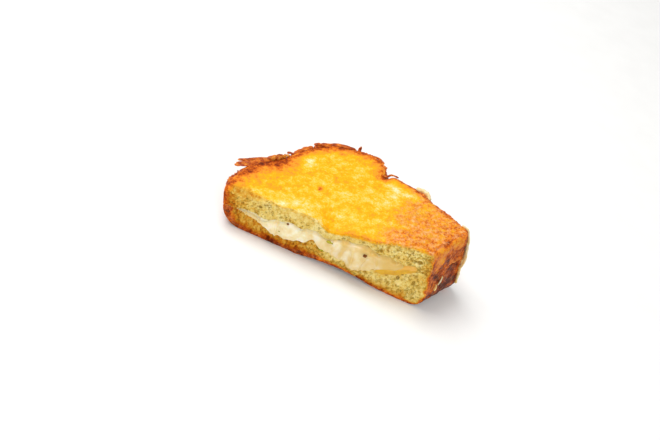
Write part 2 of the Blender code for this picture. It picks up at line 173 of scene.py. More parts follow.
room = bpy.data.worlds.new("room")
room.use_nodes = True
room.node_tree.nodes["Background"].inputs[0].default_value = ROOM_COLOUR
room.node_tree.nodes["Background"].inputs[1].default_value = ROOM_STRENGTH
bpy.context.scene.world = room
bpy.context.scene.view_settings.view_transform = "Standard"
print("lamps:", [name for name, *_ in LAMPS])

# %% [markdown]
# ## Smooth steps and humps
# The large forms of bread and cheese are soft, so they are sums of a few smooth functions. A ramp gives a
# soft change between two places, a bell a bump with long tails, and a hump a lobe that ends cleanly.


# %% Smooth steps and humps
def smooth(value):
    """Ease from 0 to 1: three times the square less twice the cube."""
    value = np.clip(value, 0.0, 1.0)
    return value * value * (3.0 - 2.0 * value)


def ramp(value, start, end):
    """The ease as a value goes from start to end. With the end first on the scale it falls instead."""
    return smooth((value - start) / (end - start))


def bell(value, centre, width):
    """A rounded hump of height 1: e to the power of minus the square of the distance in widths."""
    return np.exp(-(((value - centre) / width) ** 2))


def hump(value, centre, reach):
    """A cosine hump of height 1 that ends at its reach on both sides."""
    return 0.5 + 0.5 * np.cos(math.pi * np.clip((value - centre) / reach, -1.0, 1.0))


print("ease at a quarter:", smooth(0.25), "falling ramp at a quarter:", ramp(0.25, 1.0, 0.0))

# %% [markdown]
# ## Lumps and pits
# Bread is uneven at random. A cloud gives lumps of a chosen size and pits give pores. A cloud draws one
# number for each corner of a grid of cubes and blends them, and the pits put one hollow in each cube. The
# numbers come from the cube's place and from a seed, which follows the size in each call, so they are
# the same at each run, and each seed gives a pattern of its own.


# %% Lumps and pits
def chance(cells, seed):
    """A repeatable number from 0 to 1 for each whole cell: its scrambled place, as a share."""
    mixed = (cells.astype(np.int64) * np.array([73856093, 19349663, 83492791])).sum(axis=-1)
    mixed = (mixed + 7919 * seed) & 0x7FFFFFFF
    mixed = ((mixed ^ (mixed >> 15)) * 739391) & 0x7FFFFFFF
    mixed = ((mixed ^ (mixed >> 13)) * 542897) & 0x7FFFFFFF
    return ((mixed ^ (mixed >> 16)) & 0xFFFFFF) / float(0xFFFFFF)


def cloud(points, size, seed):
    """Lumps from -1 to 1: eased blend of the chance values at the eight corners round a point."""
    spot = points / size
    cell = np.floor(spot)
    share = smooth(spot - cell)
    total = np.zeros(points.shape[:-1])
    for corner in np.ndindex(2, 2, 2):
        weight = np.prod(np.where(corner, share, 1.0 - share), axis=-1)
        total += weight * chance(cell + corner, seed)
    return 2.0 * total - 1.0


def pits(points, size, seed, least=0.15, most=0.62):
    """Round hollows: 1 less the squared distance to the nearest pit, in its own radii, not under 0."""
    spot = points / size
    cell = np.floor(spot)
    deepest = np.zeros(points.shape[:-1])
    for step in np.ndindex(3, 3, 3):
        home = cell + step - 1.0
        centre = home + np.stack([chance(home, seed + i) for i in range(3)], axis=-1)
        radius = least + (most - least) * chance(home, seed + 3) ** 2
        near = ((spot - centre) ** 2).sum(axis=-1) / radius ** 2
        deepest = np.maximum(deepest, 1.0 - near)
    return deepest


def soften(values, passes, wrap=False):
    """Weigh each value twice and its neighbours once, along the first axis; ends stay unless wrapped."""
    for _ in range(passes):
        if wrap:
            values = 0.25 * (np.roll(values, 1, axis=0) + 2.0 * values + np.roll(values, -1, axis=0))
        else:
            inner = 0.25 * (values[:-2] + 2.0 * values[1:-1] + values[2:])
            values = np.concatenate([values[:1], inner, values[-1:]])
    return values


print("one draw of chance:", round(float(chance(np.zeros((1, 3)), 1)[0]), 3))

# %% [markdown]
# ## The crust line
# A pan loaf has a flat base, straight sides and a domed crown that hangs over the sides a little, with a
# fold under the overhang. The outline is made in the slice's own frame, then turned so that the cut is
# the X axis. It runs from the crown end of the cut round the crust to the base end. In the slice's frame
# U runs along the base and V up the side.

# %% Outline of the half
CUT_LENGTH = 151.0
CUT_BASE_U = 40.0             # where the cut meets the base
CUT_ANGLE = math.radians(31.7)
BASE_DROOP, CORNER_DROOP = 4.3, 1.5   # how far the base hangs down at the cut and at the corner
CORNER_RADIUS = 6.0
SIDE_BULGE = 2.6
NOTCH_V, NOTCH_DEPTH, NOTCH_HALF = 76.0, 8.5, 4.0   # the fold under the crown
EAR_V, EAR_REACH = 91.0, 4.5  # where the crown hangs over the side, and how far
CROWN_HALF, CROWN_RISE, CROWN_POWER, CROWN_LEAN = 69.5, 44.5, 2.5, 4.5
DENT_U, DENT_WIDTH, DENT_DEPTH = 50.0, 16.0, 5.0    # a shallow dent in the crown


def slice_to_half(points):
    """Turn points so that the cut lies along X: base direction and side direction at the cut angle."""
    along_base = np.array([-math.sin(CUT_ANGLE), -math.cos(CUT_ANGLE)])
    up_side = np.array([-math.cos(CUT_ANGLE), math.sin(CUT_ANGLE)])
    offset = points - np.array([CUT_BASE_U, -BASE_DROOP])
    return np.array([CUT_LENGTH, 0.0]) + offset[:, :1] * along_base + offset[:, 1:] * up_side


def straight_line():
    """Base, quarter-round corner, side bulged by a sine, and the fold under the crown."""
    u = np.linspace(CUT_BASE_U, CORNER_RADIUS, 30)
    base = np.column_stack([u, -CORNER_DROOP - (BASE_DROOP - CORNER_DROOP) * u / CUT_BASE_U])
    turn = np.linspace(0.0, math.pi / 2, 12)[1:]
    corner = CORNER_RADIUS * np.column_stack([1.0 - np.sin(turn), 1.0 - np.cos(turn)])
    share = np.linspace(0.0, 1.0, 80)[1:]
    v = CORNER_RADIUS + share * (NOTCH_V - NOTCH_HALF - CORNER_RADIUS)
    side = np.column_stack([-SIDE_BULGE * np.sin(math.pi * share), v])
    fold = np.array([(NOTCH_DEPTH * 0.45, NOTCH_V - NOTCH_HALF * 0.45), (NOTCH_DEPTH, NOTCH_V),
                     (NOTCH_DEPTH * 0.45, NOTCH_V + NOTCH_HALF * 0.6),
                     (-EAR_REACH * 0.25, NOTCH_V + NOTCH_HALF * 1.7)])
    return np.vstack([base, corner - (0.0, CORNER_DROOP), side, fold])


def crown_line():
    """A superellipse with a lean and a dent, as far as the cut."""
    turn = np.linspace(0.0, math.pi, 900)
    across = np.sign(np.cos(turn)) * np.abs(np.cos(turn)) ** (2.0 / CROWN_POWER)
    u = CROWN_HALF - EAR_REACH - CROWN_HALF * across
    v = EAR_V + CROWN_RISE * np.sin(turn) ** (2.0 / CROWN_POWER)
    v -= CROWN_LEAN * across * np.sin(turn) + DENT_DEPTH * bell(u, DENT_U, DENT_WIDTH)
    half = slice_to_half(np.column_stack([u, v]))
    return half[:np.nonzero(half[:, 1] > 0.0)[0][-1] + 1]


print("crown points:", len(crown_line()))

# %% [markdown]
# ## Sections along the crust
# The line is cut into evenly spaced sections, and each section gets the direction that points out of the
# bread. A few swells and one dip then push the line in and out, because no loaf is regular. The same
# sections carry the faces, the crust and the cut, so every piece fits the others.

# %% Sections and outward directions
MIDDLE = (86.6, 45.8)         # the place under the middle of the half, which is the origin
SECTIONS = 380
LINE_PASSES, NORMAL_PASSES = 6, 40   # how often the line and its directions are softened
TURN_SECTIONS = 9.0           # over which the directions turn to lie along the cut
SWELLS = ((0.105, 0.13, 1.5), (0.262, 0.07, 2.2), (0.43, 0.06, -1.8), (0.68, 0.07, 2.5),
          (0.858, 0.06, 1.2), (0.612, 0.028, 1.3))  # share of the crust's run, reach, size


def crust_line():
    """The whole line, with evenly spaced sections, softened a little, and its length."""
    line = np.vstack([slice_to_half(straight_line()), crown_line()])[::-1]
    line[0, 1] = line[-1, 1] = 0.0
    run = np.concatenate([[0.0], np.cumsum(np.linalg.norm(np.diff(line, axis=0), axis=1))])
    stops = np.linspace(0.0, run[-1], SECTIONS)
    even = np.column_stack([np.interp(stops, run, line[:, i]) for i in (0, 1)])
    return soften(even, LINE_PASSES), run[-1]


def outward_line(line):
    """Unit normals out of the half, eased to lie along the cut at both ends."""
    along = np.gradient(line, axis=0)
    normal = soften(np.column_stack([-along[:, 1], along[:, 0]]), NORMAL_PASSES)
    normal /= np.linalg.norm(normal, axis=1)[:, None]
    step = np.arange(len(line))
    for end, sign in ((step, -1.0), (step[::-1], 1.0)):
        weight = smooth(end / TURN_SECTIONS)[:, None]
        normal = weight * normal + (1.0 - weight) * np.array([sign, 0.0])
    return normal / np.linalg.norm(normal, axis=1)[:, None]


OUTLINE, crust_run = crust_line()
SHARE = np.linspace(0.0, 1.0, SECTIONS)
swell = sum(size * hump(SHARE, share, reach) for share, reach, size in SWELLS)
OUTLINE = OUTLINE + swell[:, None] * outward_line(OUTLINE)
OUTWARD = outward_line(OUTLINE)
print("crust run, mm:", round(crust_run, 1), "cut, mm:", round(OUTLINE[-1, 0] - OUTLINE[0, 0], 1))

# %% [markdown]
# ## Top and underside
# The half was pressed thin at its crown end and stayed thick at its base end. The knife squeezed the top
# down in two places and rounded its front edge, and at the crown end it tore a strip of skin off, so the
# edge is sunk there. The underside arches, because the half bent over its neighbour.

# %% Heights of the top and the underside
TOP_LEFT, TOP_SLOPE = 28.4, 0.145
TOP_SWELL, SWELL_RUNS = 0.6, (17.0, 21.0)   # a slow wave: its height, and its run along X and Y
PRESSES = ((79.0, 12.0, 7.0), (106.0, 16.0, 5.0))   # place, half width, depth
PRESS_FADE = 13.0
EDGE_DROP, EDGE_REACH = (0.5, 0.9), 1.3   # how deep and how far in the front edge is rounded
EDGE_SPAN = (100.0, 50.0)     # the second drop sets in between these places
TORN_DROP, TORN_REACH = 2.2, (1.0, 8.5)   # how deep the tear is, and how far in it goes: least, more
TORN_SPAN = (42.0, 6.0)       # along the cut, where the tear starts to widen and where it is widest
ARCH_START, ARCH_END, ARCH_HEIGHT = 54.0, 118.0, 3.2
ARCH_BACK, ARCH_FADE = 0.45, 80.0   # the share of its height left at the back, and how far back that is


def top_height(x, y):
    """A tilted plane with a slow swell, less the presses, which fade away from the cut."""
    press = sum(depth * bell(x, spot, width) for spot, width, depth in PRESSES)
    swell = TOP_SWELL * np.sin(x / SWELL_RUNS[0] + 1.0) * np.cos(y / SWELL_RUNS[1])
    return TOP_LEFT + TOP_SLOPE * x + swell - press * np.exp(-((y / PRESS_FADE) ** 2))


def torn_width(x):
    """How far in the skin is torn off: widest at the crown end, eased down to a narrow strip."""
    return TORN_REACH[0] + TORN_REACH[1] * ramp(x, *TORN_SPAN)


def worn_top(x, y):
    """The top, with its front edge rounded off by a short exponential drop, and sunk where it is torn."""
    depth = EDGE_DROP[0] + EDGE_DROP[1] * ramp(x, *EDGE_SPAN)
    width = torn_width(x)
    sunk = TORN_DROP * smooth(width / sum(TORN_REACH)) * smooth(1.0 - y / width) * ramp(x, 1.0, 6.0)
    return top_height(x, y) - depth * np.exp(-np.abs(y) / EDGE_REACH) - sunk


def bottom_height(x, y):
    """Two feet and an arch, a half sine, that is lower at the back."""
    share = np.clip((x - ARCH_START) / (ARCH_END - ARCH_START), 0.0, 1.0)
    rear = 1.0 - (1.0 - ARCH_BACK) * smooth(y / ARCH_FADE)
    return ARCH_HEIGHT * rear * np.sin(math.pi * share)


print("thickness at both ends, mm:", TOP_LEFT, round(float(top_height(CUT_LENGTH, 0.0)), 1))

# %% [markdown]
# ## The seam
# The seam between the slices climbs along the cut with a slow ripple and drops again near the base end.
# The upper slice sags over the filling here and there. The lower slice makes room for the filling and
# bulges up into it twice. Where no filling is between them, the slices lie on each other.

# %% Heights along the seam
SEAM_LEFT, SEAM_SLOPE = 14.8, 0.125
RIPPLE, RIPPLE_RUN = 0.5, 9.0
SEAM_DROP, SEAM_DROP_SPAN = 3.0, (114.0, 130.0)
FILL_LEFT, FILL_RIGHT = 7.4, 12.2   # the room for the filling at both ends of the cut, if it were full
FILL_GROWS, FILL_THINS = (0.03, 0.26), (0.95, 0.78)   # shares of the cut
FILL_BACK = (1.0, 0.7)        # shares of the way in, where it is closed and where it is still open
SAGS = ((28.0, 8.0, 2.4), (76.0, 8.0, 1.6))   # place, reach, size
RISES = ((65.0, 7.0, 4.6), (24.0, 6.0, 0.8))
FRONT_FADE = 9.0              # how far into the bread a sag or a rise goes on


def lobes(x, shapes):
    """Summed humps, each with a place, a reach and a size."""
    return sum(size * hump(x, spot, reach) for spot, reach, size in shapes)


def plain_seam(x):
    """A tilted line with a ripple, that drops again near the base end."""
    return SEAM_LEFT + SEAM_SLOPE * x + RIPPLE * np.sin(x / RIPPLE_RUN) - SEAM_DROP * ramp(x, *SEAM_DROP_SPAN)


def seam_height(x, y):
    """The plain seam, less the sags at the cut."""
    return plain_seam(x) - lobes(x, SAGS) * bell(y, 0.0, FRONT_FADE)


def fill_height(x, y, depth):
    """The lower slice's face: the plain seam less the room for the filling, plus the rises."""
    open_share = ramp(SHARE, *FILL_GROWS) * ramp(SHARE, *FILL_THINS) * ramp(depth, *FILL_BACK)
    space = (FILL_LEFT + (FILL_RIGHT - FILL_LEFT) * SHARE) * open_share
    return plain_seam(x) - space + lobes(x, RISES) * bell(y, 0.0, FRONT_FADE)


print("seam at both ends, mm:", [round(float(plain_seam(x)), 1) for x in (0.0, CUT_LENGTH)])

# %% [markdown]
# ## From shares to places
# A point of the half is named by its section, its share of the way in from the cut and its height. The
# pressed bread leans along the cut, more at the crown end, so a point slides along X by its depth
# below the top.

# %% Places in the half
LEAN_LEFT, LEAN_RIGHT = 0.27, 0.19   # slide along the cut for each mm down, at both ends


def place_points(plan, height):
    """Points at plan places and heights, leaned along the cut by their depth below the top."""
    x = plan[:, 0]
    lean = LEAN_LEFT + (LEAN_RIGHT - LEAN_LEFT) * np.clip(x / CUT_LENGTH, 0.0, 1.0)
    return np.column_stack([x + lean * (TOP_LEFT + TOP_SLOPE * x - height), plan[:, 1], height])


def plan_points(inset, depth):
    """Plan points of all sections: a share of the way from the cut to the inset crust line."""
    rim = OUTLINE - inset * OUTWARD
    front = rim[0] + SHARE[:, None] * (rim[-1] - rim[0])
    return front + depth * (rim - front)


print("sections and numbers in a row of plan points:", plan_points(0.0, 0.0).shape)

# %% [markdown]
# ## One closed shell from a grid
# A slice is a ring of points carried along its sections: over the face, down the crust, back under the
# other face and up the cut. Rings meet in a single line at both ends, so points that fall together are
# welded there. Each mesh is moved to its place, and the object itself stays at the origin.


# %% Mesh helpers
CREASE = math.radians(50.0)   # edges that turn by more than this stay sharp


def add_piece(name, mesh, material, slot, *nodes):
    """Put a finished mesh in the scene: it rides on the body, gets its material, and may stand for CAD nodes.
    The slot is not used.
    """
    piece = bpy.data.objects.new(name, mesh)
    bpy.context.scene.collection.objects.link(piece)
    mesh.materials.append(material)
    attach(piece, "root")
    if nodes:
        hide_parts(*nodes)
    print(name, "triangles:", len(mesh.polygons))


def mesh_from(name, points, triangles, masks):
    """Weld equal points, drop flat triangles, turn the shell outwards and write it with its masks."""
    points = points.reshape(-1, 3)
    _, first, home = np.unique(np.round(points, 4), axis=0, return_index=True, return_inverse=True)
    triangles = home.reshape(-1)[triangles]
    keep = ((triangles[:, 0] != triangles[:, 1]) & (triangles[:, 1] != triangles[:, 2])
            & (triangles[:, 2] != triangles[:, 0]))
    triangles, points = triangles[keep], points[first]
    a, b, c = (points[triangles[:, i]] for i in range(3))
    if (a * np.cross(b, c)).sum() < 0.0:
        triangles = triangles[:, ::-1]
    mesh = bpy.data.meshes.new(name)
    mesh.vertices.add(len(points))
    mesh.vertices.foreach_set("co", ((points - (*MIDDLE, 0.0)) * MM).astype(np.float32).ravel())
    mesh.loops.add(triangles.size)
    mesh.loops.foreach_set("vertex_index", triangles.astype(np.int32).ravel())
    mesh.polygons.add(len(triangles))
    mesh.polygons.foreach_set("loop_start", np.arange(0, triangles.size, 3, dtype=np.int32))
    mesh.update(calc_edges=True)
    for mask, values in masks.items():
        layer = mesh.attributes.new(mask, "FLOAT", "POINT")
        layer.data.foreach_set("value", values.reshape(-1)[first].astype(np.float32))
    mesh.shade_smooth()
    mesh.set_sharp_from_angle(angle=CREASE)
    return mesh


def grid_triangles(rows, columns, wrap_rows=True, wrap_columns=False, start=0):
    """Two triangles for each square of a grid that may close on itself in either direction."""
    i, k = np.meshgrid(np.arange(rows - (not wrap_rows)), np.arange(columns - (not wrap_columns)),
                       indexing="ij")
    down, across = (i + 1) % rows, (k + 1) % columns
    a, b, c, d = (start + r * columns + s for r, s in ((i, k), (down, k), (down, across), (i, across)))
    return np.concatenate([np.stack(half, -1).reshape(-1, 3) for half in ((a, b, c), (a, c, d))])


def grid_normals(rings):
    """Unit normals of a closed ring grid: the cross product of the steps along and across it."""
    across = np.roll(rings, -1, axis=0) - np.roll(rings, 1, axis=0)
    normal = np.cross(np.gradient(rings, axis=1), across)
    return normal / np.maximum(np.linalg.norm(normal, axis=-1), 1e-9)[..., None]


print("triangles in a grid of 3 by 4:", len(grid_triangles(3, 4)))

# %% [markdown]
# ## The rings of a slice
# Each slice has two faces, a crust wall and a cut wall. The walls share the same levels, a quarter round
# under the upper face, a plain stretch and a quarter round over the lower face, so that they meet at the
# ends of the cut.


# %% Slice rings
TOP, CRUST, UNDER, CUT = range(4)   # the four parts of a slice's shell
SEAM_RIM, TOP_RIM, BOTTOM_RIM = 0.8, 3.2, 12.5   # radii of the quarter rounds
FRONT_CROWDING = 1.25         # a power over 1 puts more rings near the cut


def wall_levels(upper_rim, lower_rim, steps):
    """Levels down a wall: inset, share of the way down, and the offset that the quarter rounds add."""
    arc_up, plain, arc_down = steps
    levels = []
    for turn in np.linspace(0.0, math.pi / 2, arc_up + 1)[1:]:
        levels.append((upper_rim * (1 - math.sin(turn)), 0.0, upper_rim * (math.cos(turn) - 1)))
    for share in np.linspace(0.0, 1.0, plain + 2)[1:-1]:
        levels.append((0.0, share, lower_rim * share - upper_rim * (1 - share)))
    for turn in np.linspace(math.pi / 2, 0.0, arc_down + 1)[:-1]:
        levels.append((lower_rim * (1 - math.sin(turn)), 1.0, lower_rim * (1 - math.cos(turn))))
    return levels


def slice_rings(upper, lower, rims, face_steps, steps):
    """Rings over the upper face, down the crust, back under the lower face and up the cut."""
    def ring(inset, depth, way, offset):
        plan = plan_points(inset, depth)
        high, low = (face(plan[:, 0], plan[:, 1], depth) for face in (upper, lower))
        fit = np.clip((high - low) / sum(rims), 0.0, 1.0)
        return place_points(plan, high + way * (low - high) + fit * offset)

    levels = wall_levels(*rims, steps)
    over, under = (np.linspace(0.0, 1.0, count) ** FRONT_CROWDING for count in face_steps)
    rings = [ring(rims[0], depth, 0.0, 0.0) for depth in over]
    rings += [ring(inset, 1.0, way, offset) for inset, way, offset in levels]
    rings += [ring(rims[1], depth, 1.0, 0.0) for depth in under[::-1]]
    rings += [ring(inset, 0.0, way, offset) for inset, way, offset in levels[::-1]]
    parts = np.repeat(np.arange(4), [len(over), len(levels), len(under), len(levels)])
    return np.array(rings), parts


upper_rings, upper_parts = slice_rings(
    lambda x, y, depth: worn_top(x, y), lambda x, y, depth: seam_height(x, y),
    rims=(TOP_RIM, SEAM_RIM), face_steps=(96, 20), steps=(7, 28, 5))
lower_rings, lower_parts = slice_rings(
    fill_height, lambda x, y, depth: bottom_height(x, y),
    rims=(SEAM_RIM, BOTTOM_RIM), face_steps=(26, 60), steps=(5, 24, 14))
print("upper slice grid:", upper_rings.shape, "lower slice grid:", lower_rings.shape)

# %% [markdown]
# ## Browning
# Bread browns where it touches the griddle: most at the rims and where the slice is thickest, least in
# the hollows. The tone is one number from 0, butter-coloured, to 1, nearly burnt. It is worked out for
# each point from a few soft patches, and the material turns it into colour later.

# %% Tone of the griddled top
GOLD, ORANGE, MOST_BROWN = 0.38, 0.22, 0.81   # tone of the plain top, what the orange third adds, the limit
STREAK = (0.81, 0.58)         # the way the griddle's wipe marks run over the top
SHORE, SHORE_SLOPE = (99.0, 121.0), 0.23   # where the coarse orange third sets in, further along at the back
PALE_PATCHES = (              # place, reach, how much paler
    ((45.3, 59.5), (3.6, 8.0), 0.34), ((59.0, 73.0), (3.0, 3.5), 0.20), ((53.0, 10.0), (14.0, 6.0), 0.17),
    ((34.0, 11.0), (8.0, 3.0), 0.08), ((78.0, 33.0), (8.0, 6.0), 0.15), ((107.0, 60.5), (7.0, 4.5), 0.21),
    ((110.0, 47.0), (7.0, 8.0), 0.18), ((91.0, 37.0), (6.0, 6.0), 0.18), ((57.0, 39.0), (8.0, 4.0), 0.12),
    ((136.0, 44.0), (6.0, 5.0), 0.14), ((121.0, 19.0), (8.0, 4.0), 0.12), ((145.0, 40.0), (5.0, 4.0), 0.04),
    ((128.0, 30.0), (6.0, 5.0), 0.05), ((122.5, 56.5), (7.0, 4.0), 0.34), ((94.0, 12.0), (7.0, 4.0), 0.04),
    ((104.0, 37.0), (6.0, 6.0), 0.10))
BROWN_PATCHES = (             # place, reach, how much browner
    ((59.7, 31.5), (1.8, 2.4), 0.38), ((163.0, 22.0), (9.0, 13.0), 0.20), ((9.0, 30.0), (15.0, 17.0), 0.13),
    ((30.0, 48.0), (16.0, 11.0), 0.15), ((92.0, -1.0), (12.0, 4.5), 0.17), ((150.0, 4.0), (12.0, 4.0), 0.10),
    ((104.0, -1.0), (12.0, 3.0), 0.12), ((118.0, 66.0), (9.0, 4.0), 0.18), ((28.0, 38.0), (9.0, 9.0), 0.11),
    ((27.0, 15.0), (8.0, 5.0), 0.06), ((124.0, 3.0), (9.0, 4.0), 0.05), ((99.5, 51.0), (4.0, 3.5), 0.10),
    ((70.0, 49.0), (9.0, 6.0), 0.06), ((72.0, 87.5), (13.0, 4.5), 0.13))


def patches(x, y, spots):
    """Sum of soft oval patches: two bells multiplied, times the patch's amount."""
    return sum(amount * bell(x, at[0], reach[0]) * bell(y, at[1], reach[1])
               for at, reach, amount in spots)


def rim_distance(plan):
    """Shortest distance from each plan point to the crust line."""
    nearest = np.full(plan.shape[:-1], 1e9)
    for corner in OUTLINE[::3]:
        nearest = np.minimum(nearest, np.linalg.norm(plan - corner, axis=-1))
    return nearest


def coarse_share(x, y):
    """How far a place lies in the coarse orange third: eased over the shore, which slants."""
    return ramp(x - SHORE_SLOPE * y, *SHORE)


def top_tone(points):
    """Even gold, plus the orange third and the rims, less the pale patches, with lumps and streaks."""
    x, y = points[..., 0], points[..., 1]
    edge = rim_distance(points[..., :2])
    tone = GOLD + ORANGE * coarse_share(x, y)
    tone += 0.20 * bell(edge, 0.0, 11.0) * ramp(x, 78.0, 28.0)      # a wide soft rim at the crown end
    rim_reach = 7.0 - 3.8 * ramp(x, 96.0, 116.0)                    # a darker rim all round, then narrower
    tone += 0.40 * bell(edge, 0.0, rim_reach) * (1.0 - 0.6 * ramp(x, 118.0, 143.0))
    tone += patches(x, y, BROWN_PATCHES) - patches(x, y, PALE_PATCHES)
    tone = np.minimum(tone, MOST_BROWN)
    tone -= 0.12 * bell(y, 0.0, 5.0) * ramp(x, 90.0, 60.0)          # the front edge stayed paler
    along, across = x * STREAK[0] + y * STREAK[1], y * STREAK[0] - x * STREAK[1]
    streaks = cloud(np.stack([0.35 * along, across, 0.0 * x], axis=-1), 3.0, 23)
    return tone + 0.06 * cloud(points, 10.0, 21) + 0.05 * cloud(points, 3.4, 22) + 0.06 * streaks


print("tone in the middle of the top:", np.round(top_tone(np.array([[80.0, 40.0, 40.0]])), 2))

# %% [markdown]
# ## Pores, tear and soaked seam
# Crumb is a foam that the knife cuts open, so the cut is pitted with pores of three sizes, in clusters,
# and with a few big holes. At the crown end the top's skin is torn off and the crumb shows. Along the seam
# cheese soaked in and closed the pores. Each of these is a share from 0 to 1 for each point.

# %% Pores and shares
PORES = (                     # size, depth, seed, largest radius as a share of the size
    (6.5, 1.5, 41, 0.36), (2.9, 0.9, 45, 0.56), (1.7, 0.5, 49, 0.60))
HOLES = (                     # place, radii, depth of the few big holes
    ((143.5, 0.0, 37.4), (2.3, 3.0, 1.9), 2.4), ((140.6, 0.0, 37.2), (2.2, 2.0, 0.9), 1.0),
    ((115.6, 0.0, 33.4), (1.8, 2.0, 1.5), 1.3), ((27.0, 0.0, 25.5), (1.6, 2.0, 1.2), 1.2),
    ((134.5, 0.0, 17.5), (1.4, 2.0, 2.3), 1.3), ((146.0, 0.0, 18.5), (1.2, 2.0, 2.6), 1.3))


def part_weight(parts, which, passes=1):
    """1 on the rings of one part of the shell, softened over its edges."""
    weight = np.repeat((parts == which).astype(float)[:, None], SECTIONS, axis=1)
    return soften(weight, passes, wrap=True)


def crumb_pores(points):
    """The deepest of three sizes of pore, in clusters, as a depth in mm and as a share of its own size."""
    warped = points + 0.5 * np.stack([cloud(points, 1.9, seed) for seed in (53, 54, 55)], axis=-1)
    open_ = 0.55 + 0.45 * smooth(0.6 + 1.6 * cloud(points, 8.0, 56))
    layers = [(depth, open_ * pits(warped, size, seed, most=most)) for size, depth, seed, most in PORES]
    return (np.maximum.reduce([depth * layer for depth, layer in layers]),
            np.maximum.reduce([layer for _, layer in layers]))


def frayed_share(points):
    """1 where the top's skin is torn off and crumb shows, 0 where it is whole, with a ragged border."""
    x, y = points[..., 0], points[..., 1]
    border = torn_width(x) + 1.4 * cloud(points, 5.0, 30) + 0.7 * cloud(points, 2.2, 29)
    ends = ramp(x, 88.0, 62.0) * ramp(x + 1.2 * cloud(points, 2.0, 26), 1.0, 5.0)
    return ends * smooth(1.5 - 1.35 * y / np.maximum(border, 0.5))


def soaked_share(points):
    """1 along the seam of the upper slice, where cheese soaked in and closed the crumb, 0 at both ends."""
    x, z = points[..., 0], points[..., 2]
    return bell(z, seam_height(x, 0.0), 3.2) * ramp(x, 14.0, 24.0) * ramp(x, 138.0, 128.0)


print("weights where the cut's rings begin:", part_weight(upper_parts, CUT)[-42:-38, 0])

# %% [markdown]
# ## Relief of the slices
# The griddled face is a flattened skin: nearly smooth where butter soaked in, and coarse where it fried
# hard. The crust is lumpy with fried cheese, and the cut is a little wavy under its pores. Each point
# moves along its own normal, and moves less near the ends of the cut, so that the shell stays closed.

# %% Relief
TAPER_SECTIONS = 7.0          # over which the relief sets in at both ends of the cut
TORN_ABOVE = 22.0             # mm over the floor, under which nothing is torn


def end_taper():
    """0 at both ends of the cut, 1 a few sections in."""
    step = np.minimum(np.arange(SECTIONS), np.arange(SECTIONS)[::-1])
    return smooth(step / TAPER_SECTIONS)


def slice_relief(rings, parts):
    """Move the rings along their normals and return them with the pore mask."""
    deep, pore = crumb_pores(rings * (1.0, 0.6, 1.0))
    deep *= 1.0 - 0.8 * soaked_share(rings)
    for centre, radii, depth in HOLES:
        hole = np.clip(1.0 - (((rings - centre) / radii) ** 2).sum(axis=-1), 0.0, 1.0)
        deep, pore = np.maximum(deep, depth * hole), np.maximum(pore, 1.6 * hole)
    coarse = coarse_share(rings[..., 0], rings[..., 1])
    fine = cloud(rings, 1.5, 61)
    face = 0.22 * cloud(rings, 8.0, 62) + 0.10 * cloud(rings, 3.0, 63) + 0.06 * fine
    face += coarse * (0.16 * cloud(rings, 2.2, 64) - 0.30 * pits(rings, 2.3, 65) + 0.10 * fine)
    crust = 0.45 * cloud(rings, 8.0, 71) + 0.45 * cloud(rings, 3.6, 72) + 0.12 * fine
    crust -= 0.5 * pits(rings, 3.0, 73)
    cut = 0.35 * cloud(rings, 13.0, 81) + 0.10 * cloud(rings, 2.4, 82) - deep
    weights = [part_weight(parts, part) for part in (TOP, CRUST, UNDER, CUT)]
    torn = frayed_share(rings) * (rings[..., 2] > TORN_ABOVE)
    face = face * (1.0 - torn) + torn * (0.35 * cloud(rings, 3.5, 66) - 0.8 * deep)
    move = weights[0] * face + weights[1] * crust + weights[2] * face + weights[3] * cut
    rounded = soften(rings, 2, wrap=True)
    return rounded + (end_taper() * move)[..., None] * grid_normals(rounded), pore


print("ends of the taper:", np.round(end_taper()[:4], 2))

# %% [markdown]
# ## Masks of the slices
# Five masks tell the material what each point is: how far it is open crumb, its tone, how deep it lies in
# a pore, which sets the pore's painted shade, how coarse its skin is, and where the skin gets pale spots
# that are painted glints. On the cut the skin of the griddled face shows as a thin line, which grows where
# it curls over. The crumb darkens towards both crusts.

# %% Masks of the upper slice
CURL = (94.0, 30.0, 2.6)      # where the top's skin curls down over the cut: place, reach, size
CURL_END = 0.9                # its size towards the base end
UPPER_CRUST = 1.2             # how far in from the crown end's crust the crumb starts
BUTTERY = ((71.0, 27.5), (9.0, 4.0))   # where butter closed the crumb: place and reach on the cut


def cut_masks(rings, parts, skin, crust_left):
    """On the cut: how far it is open crumb, and the ragged distances from the crust at both ends."""
    along = np.linspace(0.0, CUT_LENGTH, SECTIONS)
    left = along + 1.6 * cloud(rings, 3.0, 31) + 0.8 * cloud(rings, 1.3, 27)
    right = CUT_LENGTH - along + 1.4 * cloud(rings, 3.0, 32)
    crumb = smooth(skin) * ramp(left, crust_left, crust_left + 4.0) * ramp(right, 0.2, 2.8)
    return part_weight(parts, CUT, 1) * crumb, left, right


